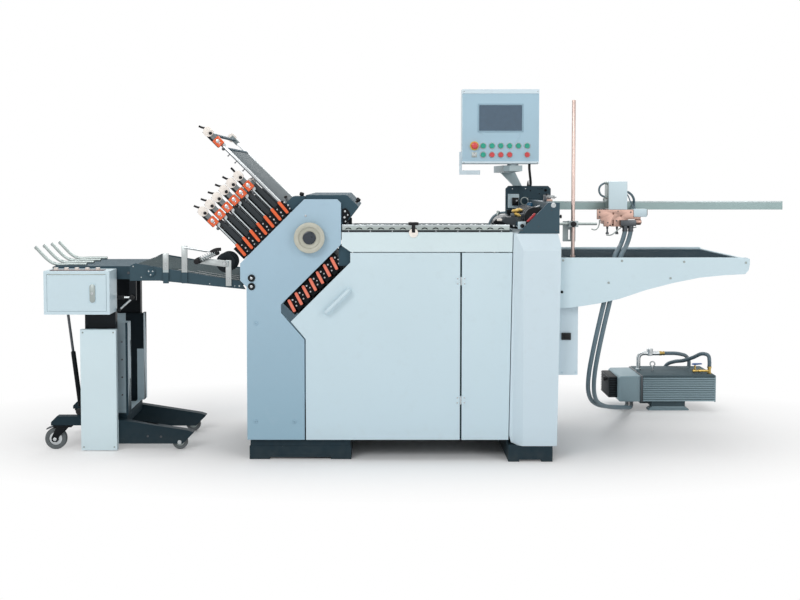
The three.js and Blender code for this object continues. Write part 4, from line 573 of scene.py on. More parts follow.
def dressed(node, finish, edge):
    """Gives a carried-over solid its finish and soft edges."""
    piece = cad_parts[node]
    shaded(piece, finish, 0)
    weld = piece.modifiers.new("weld", "WELD")
    weld.merge_threshold = 0.00002
    if edge:
        bevel = piece.modifiers.new("edge", "BEVEL")
        bevel.width = edge * MM
        bevel.segments = 2
        bevel.limit_method = "ANGLE"
        bevel.angle_limit = math.radians(40)
        bevel.miter_outer = "MITER_ARC"


# ---------------------------------------------------------------- camera and cords

CAMERA_PLACE = (0.347, -4.970, 1.233)
CAMERA_TILT = 87.4
CAMERA_LENS = 48.15
CAMERA_SHIFT = (0.025, -0.094)

view = bpy.data.cameras.new("view")
view.lens = CAMERA_LENS
view.sensor_width = 36
view.shift_x, view.shift_y = CAMERA_SHIFT
view.clip_end = 60
eye = bpy.data.objects.new("view", view)
bpy.context.collection.objects.link(eye)
eye.location = CAMERA_PLACE
eye.rotation_euler = (math.radians(CAMERA_TILT), 0, 0)
bpy.context.scene.camera = eye

PANEL_FOOT = 1291
FAR_CHEEK_TOP = 1185
CABLE_X, CABLE_Y = 1040, 2  # where the cable leaves the panel
cable_route = [
    (CABLE_X, CABLE_Y, PANEL_FOOT - 0.5), (CABLE_X, CABLE_Y, PANEL_FOOT - 21), (1046, 22, PANEL_FOOT - 53),
    (1056, 70, FAR_CHEEK_TOP + 23), (1066, 140, FAR_CHEEK_TOP + 7), (1074, 215, FAR_CHEEK_TOP + 5),
    (1080, 290, FAR_CHEEK_TOP + 14), (1084, 340, FAR_CHEEK_TOP + 21), (1086, 366, FAR_CHEEK_TOP + 18),
    (1087, 386, FAR_CHEEK_TOP - 1), (1087, 392, FAR_CHEEK_TOP - 30), (1087, 388, FAR_CHEEK_TOP - 57),
    (1087, 380, FAR_CHEEK_TOP - 63), (1087, 370.8, FAR_CHEEK_TOP - 63)]
vacuum_route = [
    (1458, -122, 1007.4), (1458, -122, 985), (1448, -135, 955), (1426, -180, 925), (1396, -264, 910),
    (1373, -311, 888), (1362, -322, 852), (1346, -321, 780), (1326, -321, 690), (1304, -300, 570),
    (1291, -250, 450), (1292, -165, 340), (1310, -60, 245), (1350, 60, 172), (1408, 180, 124),
    (1478, 310, 88), (1548, 430, 60), (1600, 530, 37), (1640, 620, 19), (1668, 710, 10.5),
    (1690, 800, 10.5), (1725, 885, 10.5), (1790, 935, 10.5), (1880, 950, 10.5), (1965, 950, 28),
    (2030, 944, 85), (2055, 925, 155), (2050, 890, 215), (2018, 838, 252), (1975, 790, 270),
    (1936, 756, 280), (1902, 740, 283), (1872.6, 740, 283)]
blow_route = [
    (1484, -122, 1007.4), (1484, -122, 985), (1474, -137, 955), (1452, -184, 925), (1422, -267, 910),
    (1399, -313, 888), (1386, -324, 852), (1370, -323, 780), (1350, -323, 690), (1328, -302, 570),
    (1315, -254, 450), (1316, -175, 340), (1334, -75, 245), (1372, 45, 172), (1430, 165, 124),
    (1500, 295, 88), (1570, 417, 60), (1622, 518, 37), (1662, 608, 19), (1690, 700, 10.5),
    (1712, 790, 10.5), (1745, 862, 10.5), (1795, 903, 10.5), (1850, 915, 24), (1888, 915, 75),
    (1908, 910, 140), (1928, 885, 196), (1958, 835, 222), (1990, 785, 236), (2026, 730, 262),
    (2060, 683, 290), (2083, 652, 285), (2086, 640, 255), (2086, 640, 230.5)]


def cord(name, route, radius, finish):
    """A cord as a mesh tube along a smooth route, in place of its node."""
    line = smooth(route)
    piece = rod(name, line, radius, 0, 5)
    shaded(piece, finish, 50)
    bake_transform(piece)
    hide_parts(name.replace("_run", ""))
    path = [tuple(point * MM) for point in line]
    length = sum((b - a).length for a, b in zip(line, line[1:])) * MM


cord("panel_cable_run", cable_route, 6, cable_skin)
for name, route in (("vacuum_hose_run", vacuum_route), ("blow_hose_run", blow_route)):
    cord(name, route, 10, hose_skin)


# ---------------------------------------------------------------- carried-over solids
# A zone is a box, and the colour, roughness and metallic share inside it.

table_paint = painted("table_paint", (216, 233, 237), "frame_dark", 0.38, zones=[
    ((ANY, ANY, -369, ANY, 992.5, ANY), (58, 76, 84), 0.45, 0.0),
    ((222, 880, -300, 300, ANY, 999), (176, 182, 184), 0.3, 1.0),
    ((874, 950, -260, 130, 1000.5, ANY), (44, 52, 58), 0.45, 0.0)])
# The foot colour is painted shade: the column grows darker towards the floor.
column_paint = painted(
    "column_paint", (214, 230, 238), "panel_white", 0.38, dust=0.25, foot=(202, 220, 230), gloss=0.35,
    zones=[((1140, 1187, ANY, -300.5, 510, 552), (24, 26, 30), 0.4, 0.0)])
head_paint = painted("head_paint", (62, 84, 95), "frame_dark", 0.45, gloss=0.2, zones=[
    ((ANY, 1060, ANY, ANY, 1186, ANY), (186, 202, 206), 0.4, 0.0),
    ((ANY, 942, ANY, ANY, 1186, ANY), (150, 168, 174), 0.45, 0.0),
    ((1120, ANY, -11, 11, 1070, 1120), (138, 156, 156), 0.42, 1.0)])
housing_paint = painted("housing_paint", (218, 234, 242), "panel_white", 0.34, gloss=0.35, zones=[
    ((ANY, ANY, ANY, -59.9, 1301, 1610), (176, 206, 222), 0.38, 0.0)])
bed_paint = painted("bed_paint", (34, 54, 64), "foot_black", 0.7, gloss=0.03, zones=[
    ((1188, 1210, -262, -238, 871, ANY), (226, 190, 176), 0.34, 0.8)])
base_paint = painted("base_paint", (30, 48, 57), "frame_dark", 0.55, dust=0.1, gloss=0.1, zones=[
    ((-993, -831, ANY, -193.5, ANY, 550), (214, 232, 238), 0.38, 0.0),
    # This zone is painted shade: the inner panel behind the near cover takes the cover's white made darker, as a side
    # in shade.
    ((-985, -786, -193.4, ANY, 159, 578), (176, 194, 202), 0.42, 0.0),
    ((-872, -819, 100, ANY, 159, 578), (22, 32, 38), 0.6, 0.0),
    ((-820, -787, 100, ANY, 406, 578), (22, 32, 38), 0.6, 0.0)])
lift_paint = painted("lift_paint", (54, 74, 84), "frame_dark", 0.55, gloss=0.15, zones=[
    ((ANY, -741, ANY, ANY, 828.2, ANY), (84, 102, 112), 0.55, 0.0),
    ((ANY, ANY, ANY, ANY, ANY, 771), (26, 30, 34), 0.4, 0.2)])
bridge_paint = painted("bridge_paint", (58, 80, 90), "frame_dark", 0.48, gloss=0.2, zones=[
    ((ANY, -480, ANY, -292.2, 812, ANY), (170, 182, 184), 0.42, 0.6),
    ((-480, ANY, ANY, -292.2, 752, ANY), (170, 182, 184), 0.42, 0.6),
    ((ANY, ANY, -280, 280, ANY, ANY), (62, 82, 90), 0.6, 0.0)])

for node, finish, edge in (
        ("folder_plinth", foot_paint, 2.0), ("feeder_foot", foot_paint, 1.5), ("side_plate_near", blue_paint, 0.8),
        ("side_plate_far", blue_paint, 0.8), ("infeed_hood", slate_paint, 3.0), ("fold_rollers", roller_steel, 0.0),
        ("cabinet_door", white_paint, 0.8), ("front_panel", white_paint, 0.8), ("rear_panel", white_paint, 1.5),
        ("cabinet_frame", frame_paint, 1.5), ("register_table", table_paint, 0.6),
        ("feeder_column", column_paint, 1.5), ("feeder_head_frame", head_paint, 1.0),
        ("panel_housing", housing_paint, 1.0), ("touch_screen", screen_glass, 0.5),
        ("tray_walls", white_paint, 1.2), ("tray_bed", bed_paint, 1.0), ("side_guide", guide_metal, 0.5),
        ("delivery_base", base_paint, 1.2), ("lift_frame", lift_paint, 0.6), ("control_box", white_paint, 1.2),
        ("control_box_door", white_paint, 0.8), ("bridge_frame", bridge_paint, 0.5)):
    dressed(node, finish, edge)


# ---------------------------------------------------------------- side plates, buttons and hand wheel

plate_screws = [(-189, 598), (-192, 170), (-24, 169)]
screws("side_plate_screw", NEAR, plate_screws, 8, blue_paint)
screw("side_plate_screw_4", (27, NEAR, 1063), OUT, 4.5)
screws("far_plate_screw", -NEAR, plate_screws, 8, blue_paint, way=BACK)

SIDE_BUTTON_X = -207
for name, z in (("upper", 794), ("lower", 758)):
    at = (SIDE_BUTTON_X, NEAR, z)
    button = f"side_button_{name}"
    ring(f"button_collar_{name}", at, OUT, [
        (10.9, 0.5), (15.6, 0.5), (15.6, 4.2), (14.4, 5.6), (11.6, 5.6), (10.9, 4.9)], black_plastic)
    lathe(f"button_cap_{name}", at, OUT, [
        (9.9, 0.2), (9.9, 8.0), (9.2, 8.9), (7.6, 9.0), (7.2, 8.2), (2.0, 7.8)], black_plastic, 32, button, button)
    lathe(f"button_dot_{name}", (SIDE_BUTTON_X, NEAR - 7.6, z), OUT, [
        (5.6, -0.4), (5.6, 0.8), (4.6, 1.3)], bright_steel, 28, button)

WHEEL = (44, NEAR, 969)
ring("wheel_rim", WHEEL, OUT, [
    (28.6, 6), (58, 4.2), (63.5, 6), (66, 11), (66, 30), (64.8, 34.2), (61.5, 36), (54, 36), (50.5, 35.2),
    (47, 33.4), (45.6, 30.4), (43.8, 25.2), (39, 23.2), (28.6, 22.4)], wheel_plastic, 72, "hand_wheel",
    "hand_wheel", 40)
lathe("wheel_hub", WHEEL, OUT, [
    (8, -11), (8, 4.2), (28.2, 4.2), (28.2, 26.5), (27.2, 28.6), (25, 29.6), (22.4, 29.8), (21.6, 28.8),
    (20, 28.6), (12, 29.8), (2, 30.1)], navy_plastic, 64, "hand_wheel")


# ---------------------------------------------------------------- buckle plates, drawn in the fold group's axes

UPPER_MOUTH = 702.2  # where the upper plates leave the fold rollers
LOWER_MOUTH = 622.3
LOWER_END = -LOWER_MOUTH + 310
SEAT = 357.7  # half the width of an upper plate
PITCH = 43.3
FIRST = 472  # along, of the first upper plate
SHORT_END = 1047.2
LONG_END = 1271.2
LONG_ALONG = 731.8
LOWER_ALONG = 450.35
LEVER_TIPS = [(-45, -12), (-45, -13), (-44, -14), (-45, -12), (-46, -9), (-47, 1)]
SHORT_PARTS = (  # name, span outward, distances from the middle plane, span along, finish, edge
    ("channel", (-SHORT_END + 20, -UPPER_MOUTH), (SEAT - 14, SEAT), (-6, 6), black_paint, 1.0),
    ("strip", (-SHORT_END + 30, -UPPER_MOUTH), (SEAT - 0.2, SEAT + 1.6), (-2.7, 2.7), drawn_steel, 0.5),
    ("side", (-985, -UPPER_MOUTH - 4), (SEAT - 5, SEAT - 1.5), (9, 31), grate_paint, 1.0),
    ("ridge", (-1000, -UPPER_MOUTH - 4), (SEAT - 5, SEAT - 1.5), (34, 36.2), charcoal_metal, 0.4))


def stop_head(tag, end, along, tip, body):
    """Clamp, arm, cam, knob and lever at the outer end of a buckle plate. Arm and cam have a far twin."""
    clamp = -end + 50
    cam = -end - 11
    shell = block(f"{tag}_clamp_near", about(clamp, 19), (-SEAT - 18, -SEAT + 0.3), about(along, 17), 0)
    dished(shell, OUT, 4.2, 0.8, 2.2)
    rim = [(cam + x, along + min(z, 18.5 if x > -14 else z)) for x, z in circle(22, 40)]
    bracket = [(clamp + 17, along + 3), (clamp + 34, along + 3), (clamp + 34, along + 9), (clamp + 28, along + 15),
               (clamp + 17, along + 15)]
    for piece, finish in (
            (bevelled(shell, 2.6, 3, 60), orange_plastic),
            (turned(f"{tag}_boss_near", (clamp - 3.5, -SEAT - 15.2, along + 0.5), OUT, [
                (8.2, 0), (8.2, 2.4), (6.6, 2.9), (6.4, 5.2), (5.2, 6.0), (3, 6.0), (2.6, 5.2)], 24), bright_steel),
            (block(f"{tag}_pin_near", (clamp + 7, clamp + 11.5), (-SEAT - 18.4, -SEAT - 14),
                   (along - 5, along + 4), 0.8), bright_steel),
            (block(f"{tag}_arm_near", (cam - 6, clamp - 17), (-SEAT - 7.4, -SEAT + 0.2), about(along, 11), 1.2),
             arm_grey),
            (plate(f"{tag}_cam_near", rim, -SEAT - 17, -SEAT - 5.2, 1.6, 3), cream_plastic),
            (block(f"{tag}_back_near", (cam - 17, clamp + 17), (-SEAT - 4, -SEAT + 1),
                   (along - 21, along - 10.5), 1.0), black_plastic),
            (turned(f"{tag}_knob_near", (cam + 13, -SEAT - 15, along + 2.5), OUT, [
                (5.2, 0), (5.2, 5), (7.0, 6.2), (7.2, 12.5), (6.0, 14.4), (3.4, 14.9)], 20), black_plastic),
            (plate(f"{tag}_bracket_near", bracket, -SEAT - 9, -SEAT + 1, 0.8), drawn_steel),
            (turned(f"{tag}_stud_near", (clamp + 36, -SEAT + 2, along - 8), OUT, [
                (7, 0), (7, 7), (5.4, 8.4), (5.0, 11), (3.6, 11.8)], 18), charcoal_metal)):
        pair = [piece]
        if finish in (arm_grey, cream_plastic):
            pair.append(copied(piece, piece.name.replace("near", "far"), Matrix.Scale(-1, 4, (0, 1, 0))))
        for each in pair:
            ready(folded(each), finish, body)
    grip = rod(f"{tag}_lever", [
        (cam - 14, -SEAT - 3, along), (cam - 22, -SEAT - 3, along + tip[1] * 0.05),
        (cam - 30, -SEAT - 3, along + tip[1] * 0.45), (cam + tip[0], -SEAT - 3, along + tip[1])], 4.6)
    ready(folded(grip), black_plastic, body)


def latch(tag, start, end, near, boss_first):
    """A latch bar with a round boss at one end. start and end are (x, z)."""
    run = Vector((end[0] - start[0], end[1] - start[1]))
    length = run.length
    outline = [(0, -4.4), (2.4, -6.6), (length - 9, -6.6)]
    outline += [(length - 7 + 7 * math.sin(t), -7 * math.cos(t)) for t in (0.5, 1.05, 1.57, 2.09, 2.64)]
    outline += [(length - 9, 6.6), (2.4, 6.6), (0, 4.4)]
    strap = plate(f"{tag}_latch", outline, -12, 0, 1.4)
    boss = turned(f"{tag}_latch_boss", (length - 7, -11.4, 0), OUT, [
        (5.2, 0), (5.2, 1.8), (4.0, 2.6), (2.0, 2.6), (1.6, 1.6)], 20)
    turn = Matrix.Rotation(-math.atan2(run.y, run.x), 4, "Y")
    if boss_first:
        turn = turn @ Matrix.Translation((length * MM, 0, 0)) @ Matrix.Rotation(math.pi, 4, "Y")
    where = Matrix.Translation(Vector((start[0], near, start[1])) * MM) @ turn
    for piece in (strap, boss):
        piece.data.transform(where)
    return folded(strap), folded(boss)


def latch_screws(name, depth, along, shank, height, places):
    """Plain screw heads beside a latch, at (distance outward, distance along, radius)."""
    for i, (n, a, radius) in enumerate(places):
        head = turned(f"{name}_{i + 1}", (-n, depth, along + a), OUT, [
            (radius, 0), (radius, shank), (radius * 0.8, height), (radius * 0.35, height)], 14)
        ready(folded(head), bright_steel)


for i, tip in enumerate(LEVER_TIPS):
    along = FIRST + i * PITCH
    tag = f"short_{i + 1}"
    stop_head(tag, SHORT_END, along, tip, "machine")
    fold_bar(f"{tag}_sheet", (-960, -UPPER_MOUTH), about(0, SEAT - 10), about(along, 1.5), sheet_steel, 0.6,
             node=None if i else "upper_buckle_plates")
    for name, side in SIDES:
        for part, x, y, z, finish, edge in SHORT_PARTS:
            fold_bar(f"{tag}_{part}_{name}", x, sided(side, *y), (along + z[0], along + z[1]), finish, edge)
    fold_bar(f"{tag}_crossbar", (-972, -960), about(0, SEAT - 8), about(along, 5), black_paint)

stop_head("long", LONG_END, LONG_ALONG, (-46, -13), "long_plate")
fold_bar("long_sheet", (-1172, -UPPER_MOUTH), about(0, SEAT - 10), about(LONG_ALONG, 1.5), sheet_steel, 0.6,
         "long_plate", "long_buckle_plate")
for name, side in SIDES:
    fold_bar(f"long_rail_{name}", (-LONG_END + 30, -UPPER_MOUTH), sided(side, SEAT - 14, SEAT + 1),
             about(LONG_ALONG, 6.5), bright_steel, 1.4, "long_plate")
    fold_bar(f"long_lip_{name}", (-LONG_END + 42, -UPPER_MOUTH), sided(side, SEAT + 1, SEAT + 3),
             (LONG_ALONG - 6, LONG_ALONG - 2.5), charcoal_metal, 0.5, "long_plate")
for name, x in (("end_bar", (-1271, -1259)), ("crossbar", (-1184, -1172)), ("mid_bar", (-760, -744))):
    fold_bar(f"long_{name}", x, about(0, SEAT - 10), about(LONG_ALONG, 5), slate_paint, 1.2, "long_plate")
for i, n in enumerate((1222, 1206, 1150, 1108, 1060, 1010)):
    pin = turned(f"long_rail_pin_{i + 1}", (-n, -SEAT - 1, LONG_ALONG - 6), (0, -0.2, -1), [
        (2.2, 0), (2.2, 8), (3.2, 8.6), (3.2, 11), (2.2, 11.6)], 12)
    ready(folded(pin), charcoal_metal, "long_plate")

for i in range(7):
    along = FIRST - PITCH / 2 + 16.5 + i * PITCH
    for piece in latch(f"upper_{i + 1}", (-859, along + 4), (-794, along - 2), -SEAT, False):
        ready(piece, orange_plastic, "long_plate" if i == 6 else "machine")
    fold_bar(f"upper_{i + 1}_latch_seat", (-852, -789), (-SEAT - 2, -SEAT + 6), about(along, 19), black_paint)
    latch_screws(f"upper_{i + 1}_latch_screw", -SEAT - 2, along, 3, 3.8, (
        (838, 19, 3.4), (818, 22, 4.2), (803, 17, 3.2)))

for i in range(7):
    along = LOWER_ALONG + i * PITCH
    tag = f"lower_{i + 1}"
    strap, boss = latch(tag, (-530.4, along + 9), (-472.4, along - 9), -SEAT + 12, True)
    ready(strap, salmon_plastic, node=None if i else "lower_buckle_plates")
    ready(boss, salmon_plastic)
    fold_bar(f"{tag}_sheet", (-LOWER_MOUTH, LOWER_END), about(0, SEAT - 20), about(along, 1.5), sheet_steel, 0.6)
    for name, side in SIDES:
        fold_bar(f"{tag}_rail_{name}", (-LOWER_MOUTH, LOWER_END), sided(side, SEAT - 26, SEAT - 12),
                 about(along, 6), black_paint)
    latch_screws(f"{tag}_screw", -SEAT + 11, along, 4, 5, ((516, 20, 4.4), (500, 24, 3.4), (486, 14, 3.8)))
bar("slot_corner", (168, 222), (-352, -210), (846, 932), slate_paint, 1.5)
fold_bar("slot_liner", (-534, -462), (-SEAT + 12, -SEAT + 16), (430, 742), black_paint, 1.5)


# ---------------------------------------------------------------- hood, cabinet and register table

for name, at, lean in (("right", (243, -300, 1118), (0.6, 0, 0.8)), ("left", (2, -300, 1140), (0.25, 0, 0.97))):
    base, way = Vector(at), Vector(lean)
    stem(f"hood_knob_{name}_stem", base - way * 26, base + way * 6, 4)
    knob(f"hood_knob_{name}", base, lean, 10, 24)
bar("hood_knob_seat", (216, 246), (-316, -284), (1090, 1108), slate_paint, 3)
slab("hood_side_cover", [(-62, 1082), (26, 1082), (26, 1146), (-30, 1146), (-62, 1114)], -352, -200, slate_paint, 2)
stem("hood_stop_screw_1", (-44, -345, 1110), (-60, -345, 1142), 5, charcoal_metal)
knob("hood_stop_knob_1", (-56, -345, 1134), (-0.45, 0, 0.9), 8, 16)
stem("hood_stop_screw_2", (-8, -345, 1088), (-34, -345, 1076), 5)
for i, (x, z, radius, far, finish) in enumerate((
        (196, 1060, 15, -200, drum_rubber), (206, 1030, 12, -230, charcoal_metal),
        (190, 1004, 9, -260, bright_steel), (214, 1076, 8, -300, charcoal_metal))):
    lathe(f"infeed_roller_{i + 1}", (x, -350, z), BACK, [
        (radius * 0.45, 0), (radius * 0.45, 12), (radius, 13), (radius, far + 350)], finish, 28, edge=0.6)
BRACKET_FACE, GUARD_FACE = -348, -362
bar("infeed_bracket", (182, 226), (BRACKET_FACE, BRACKET_FACE + 8), (1000, 1054), black_paint, 2)
screws("infeed_bracket_screw", BRACKET_FACE, [(190, 1046), (214, 1018), (204, 1010)], 3.6)
slab("hood_guard", [
    (184, 1092), (200, 1096), (214, 1082), (220, 1062), (210, 1050), (206, 1030), (186, 1028), (184, 1050)],
    GUARD_FACE, GUARD_FACE + 8, black_paint, 1.4)
screws("hood_guard_screw", GUARD_FACE, [(196, 1082, 4.4), (208, 1066, 3.4), (194, 1056, 4.8), (198, 1038, 3.4)])
stem("hood_guard_shaft", (190, -358, 1072), (190, -340, 1072), 5, charcoal_metal)

EDGE_SPAN = (184, 905)
EDGE_FACE = -371
bar("table_edge", EDGE_SPAN, (-369.5, -349), (992.4, 1024), rail_steel, 1.4)
bar("table_edge_foot", EDGE_SPAN, (EDGE_FACE, EDGE_FACE + 2), (992.4, 1001), grate_paint, 0.5)
bar("table_edge_lip", EDGE_SPAN, (EDGE_FACE, EDGE_FACE + 2), (1017, 1024.6), drawn_steel, 0.5)
wave = plate("table_mark_1", [
    (0, 0), (5, 0.5), (9, 3), (14.5, 4.2), (20, 3), (24, 0.5), (29, 0), (26, 4.4), (21, 7.4), (14.5, 8.6),
    (8, 7.4), (3, 4.4)], -370.4, -368)
for piece in [wave] + [copied(wave, f"table_mark_{i + 2}", moved((i + 1) * 47.0)) for i in range(14)]:
    piece.data.transform(moved(196, 0, 1004))
    ready(piece, black_paint)
screws("table_edge_screw", EDGE_FACE, [(212 + i * 94, 996.7) for i in range(8)], 2.4)

RAIL_Y = -313.7
channel = block("ball_channel", (222, 880), about(RAIL_Y, 11), (1000.3, 1012), 0)
ready(bevelled(dished(channel, UP, 3, 0.3, 6), 0.5), drawn_steel, node="ball_rail")
for i in range(14):
    lathe(f"table_ball_{i + 1}", (222 + 658 * (i + 0.5) / 14, RAIL_Y, 1005), UP, [
        (9 * math.cos(turn), 9.3 + 9 * math.sin(turn)) for turn in
        (-1.45, -1.2, -0.9, -0.6, -0.3, 0.0, 0.3, 0.6, 0.9, 1.2, 1.45)], bright_steel, 24)
for i in range(12):
    lathe(f"table_roller_{i + 1}", (222 + 657 * (i + 0.5) / 12, -300, 983), BACK, [
        (5, 0), (5, 3), (14.3, 3.5), (14.3, 596.5), (5, 597), (5, 600)], roller_steel, 28)
lathe("slide_knob_disc", (491, NEAR - 1, 989), OUT, [(19, 0), (20, 1), (20, 4), (18.4, 5.4)], cream_plastic, 40)
bar("slide_knob_neck", (483, 499), (-378, -362), (990, 1026), black_plastic, 3)
bar("slide_knob_bar", (468, 514), (-380, -356), (1022, 1036), black_plastic, 5)

bent("door_handle", [
    (114, -370.5, 648), (114, -390, 648), (118, -396, 652), (162.5, -396, 695), (207, -396, 738), (211, -390, 742),
    (211, -370.5, 742)], 8.9, white_paint, "cabinet_door", 8, 4)
for i, (x, z) in enumerate(((114, 648), (211, 742))):
    lathe(f"door_handle_foot_{i + 1}", (x, NEAR, z), OUT, [(13, -0.2), (13, 2), (11.4, 3.4)], white_paint, 28,
          "cabinet_door")
HINGE_X, HINGE_FACE = 697, -372
for i, z in enumerate((781, 263)):
    for j, (x, body) in enumerate(((HINGE_X - 15, "cabinet_door"), (HINGE_X + 15, "machine"))):
        screws(f"hinge_{i + 1}_screw_{j + 1}", HINGE_FACE, [(x, z - 11), (x, z + 11)], 3.4, body=body)
    lathe(f"hinge_{i + 1}_barrel", (HINGE_X, HINGE_FACE, z - 17.9), UP, [
        (3.3, 0), (3.3, 11.6), (2.9, 12), (2.9, 12.4), (3.3, 12.8), (3.3, 23), (2.9, 23.4), (2.9, 23.8),
        (3.3, 24.2), (3.3, 35.8)], bright_steel, 20)
screws("rear_panel_screw", -NEAR, [(260, 130), (600, 130), (260, 860), (600, 860), (860, 500), (440, 500)], 6,
       white_paint, way=BACK)
for i in range(9):
    bar(f"rear_vent_{i + 1}", (380, 560), (-NEAR - 0.5, -NEAR + 1.6), (640 - i * 22, 650 - i * 22),
        charcoal_paint, 0.7)


# ---------------------------------------------------------------- control panel

PANEL_FACE = -60
bezel = plate("screen_bezel", [(794, 1434), (1003, 1434), (1003, 1564), (794, 1564)], PANEL_FACE - 2.4,
              PANEL_FACE + 0.5)
cut(bezel, block("window", (800.6, 996.4), about(PANEL_FACE, 9), (1440.6, 1557.4), 0))
ready(bevelled(bezel, 0.9), bezel_paint, "panel")
BUTTON_LEFT, BUTTON_PITCH = 779, 40.3
PANEL_HEIGHT = 339
ROW_ONE = PANEL_FOOT + 0.239 * PANEL_HEIGHT
ROW_TWO = PANEL_FOOT + 0.118 * PANEL_HEIGHT
greens = [(column, ROW_ONE) for column in range(1, 7)] + [(1, ROW_TWO)]
reds = [(column, ROW_TWO) for column in (2, 3, 4, 6)]
for colour, finish, places in (("green", green_enamel, greens), ("red", red_enamel, reds)):
    for i, (column, z) in enumerate(places):
        at = (BUTTON_LEFT + column * BUTTON_PITCH, PANEL_FACE, z)
        node = f"{colour}_button_{i + 1}"
        lathe(f"{node}_cap", at, OUT, [
            (11.4, 0.2), (11.4, 7.2), (10.4, 8.6), (8, 8.95), (7.4, 8.3), (2, 7.9)], finish, 36, node, node)
        ring(f"{node}_collar", at, OUT, [
            (11.9, 0.4), (14.8, 0.4), (14.8, 3.0), (14, 4.0), (12.4, 4.0), (11.9, 3.4)], bright_steel, 36, "panel")
STOP = (BUTTON_LEFT, PANEL_FACE, ROW_ONE)
ring("stop_button_ring", STOP, OUT, [
    (12.8, 0.2), (20.5, 0.2), (20.5, 1.6), (19.6, 2.4), (12.8, 2.4)], yellow_plastic, 48, "panel")
lathe("stop_button_cap", STOP, OUT, [
    (11.6, 0.2), (11.6, 8.6), (14.6, 9.2), (16, 11), (16, 15), (15, 18), (12.4, 20.2), (8, 21), (2, 21)],
    red_enamel, 40, "emergency_stop", "emergency_stop", 40)
bar("panel_key_plate", about(BUTTON_LEFT, 12), (PANEL_FACE - 1.8, PANEL_FACE + 0.4), about(ROW_TWO, 12),
    rail_steel, 0.8, "panel")
lathe("panel_key", (BUTTON_LEFT, PANEL_FACE - 1.6, ROW_TWO), OUT, [
    (7.5, 0), (7.5, 2.6), (6.4, 3.4), (1.6, 3.4)], bright_steel, 28, "panel")
screws("panel_screw", PANEL_FACE - 3, [(731, 1620), (1067, 1620), (731, 1296), (1067, 1296)], 2.6, body="panel")
for i in range(8):
    bar(f"panel_vent_{i + 1}", (820, 980), (17.5, 20), (1380 + i * 22, 1388 + i * 22), charcoal_paint, 0.8, "panel")
bar("panel_shadow_strip", (727, 1071), (-57, 14), (1288.6, 1291.4), slate_paint, 0.8, "panel")
lathe("panel_cable_gland", (CABLE_X, CABLE_Y, 1291.2), DOWN, [
    (10, -0.4), (10, 1.6), (8.6, 2.4)], black_plastic, 12, "panel")


# ---------------------------------------------------------------- feeder column and head

DRUM_X, DRUM_Z = 1040, 1048
COIL_Y, COIL_Z = -98, 1138
screws("electrical_box_screw", -300, [(1148, 690), (1208, 690), (1148, 372), (1208, 372)], 4, white_paint)
bar("main_switch_rocker", (1149, 1178), (-312, -306), (521, 542), black_plastic, 2)
lathe("feed_drum_core", (DRUM_X, -SEAT, DRUM_Z), BACK, [
    (11.6, 0), (11.6, SEAT - 210), (46, SEAT - 210), (47, SEAT - 208), (47, SEAT + 208), (46, SEAT + 210),
    (11.6, SEAT + 210), (11.6, 2 * SEAT)], drum_rubber, 48, "feed_drum", "feed_drum", 30)
for i in range(7):
    ring(f"feed_drum_band_{i + 1}", (DRUM_X, -180 + i * 60, DRUM_Z), BACK, [
        (45, -14), (47.6, -14), (47.6, 14), (45, 14)], charcoal_paint, 48, "feed_drum")

bar("sensor_plate", (982, 1037), (338, 346), (1076, 1145), white_paint, 2)
bar("sensor_box", (1001, 1033), (318, 338), (1088, 1127), black_plastic, 2)
stem("sensor_box_lens", (1022, 318, 1112), (1022, 312, 1112), 5)
stem("sensor_plate_post", (1010, 346, 1110), (1010, 358, 1110), 8, slate_paint)
ring("hose_clip", (1058, 300, 1111), OUT, [(16, 0), (20, 0), (20, 6), (16, 6)], rail_steel)
stem("hose_clip_post", (1074, 296, 1121), (1084, 358, 1128), 3.4)
lathe("air_filter_bowl", (1071, 205, 1062), (0.1, 0, 1), [
    (13, 0), (17, 5), (19, 12), (19, 34), (16, 37), (16, 42), (11, 44)], teal_enamel)
for i, (at, lean) in enumerate((
        ((934, -205, 1077), (1, 0, 0.1)), ((952, -200, 1082), (1, 0.1, 0)), ((944, -212, 1066), (0.9, 0, -0.3)))):
    lathe(f"air_fitting_{i + 1}", at, lean, [
        (5, 0), (5, 4), (9, 4.6), (9, 9), (7, 10), (7, 12), (9.6, 13), (9.6, 18), (7.4, 19), (7.4, 24), (5, 25),
        (5, 30)], brass, 12)
bar("air_fitting_base", (930, 990), (-214, -196), (1050, 1068), charcoal_metal, 2)
bar("air_fitting_leg", (936, 944), (-212, -200), (1000, 1052), charcoal_metal)
bar("valve_bar", (930, 1000), (-60, -44), (1058, 1080), black_paint, 2)
bar("valve_bar_leg", (936, 946), (-58, -46), (1050, 1062), black_paint)
stem("valve_bar_rod", (1000, -52, 1070), (1082, -52, 1096), 5)
slab("sheet_stop_link", [
    (846, 1030), (858, 1044), (900, 1026), (962, 1008), (958, 1000), (900, 1008), (852, 1022)], -262, -250,
    black_paint, 1.2)
slab("sheet_stop_arm", [(880, 1050), (900, 1056), (936, 1040), (930, 1028), (900, 1036)], -246, -236,
     charcoal_metal, 1.2)
bar("sheet_stop_tip", (862, 884), (-264, -248), (1036, 1046), cream_plastic, 2)
screws("sheet_stop_screw", -262, [(900, 1018), (936, 1014)], 4)
screw("sheet_stop_screw_3", (912, -246, 1042), OUT, 4)
bent("blast_hose_arc", [
    (839, -150, 1002), (842, -150, 1024), (858, -150, 1050), (884, -150, 1066), (912, -150, 1070)], 5.4, hose_skin,
    angle=35)
lathe("blast_elbow", (876, -150, 1058), (0.3, 0, 1), [(6.5, 0), (6.5, 10), (8, 11), (8, 18), (5, 20)],
      rail_steel, 14)
slab("cheek_guard_strip", [(978, 1038), (988, 1036), (1016, 1062), (1018, 1074), (1012, 1074)], -357.6, -350,
     red_strip, 0.8)
bar("blast_valve_plate", (946, 980), (-330, -322), (1004, 1036), white_paint, 1.5)
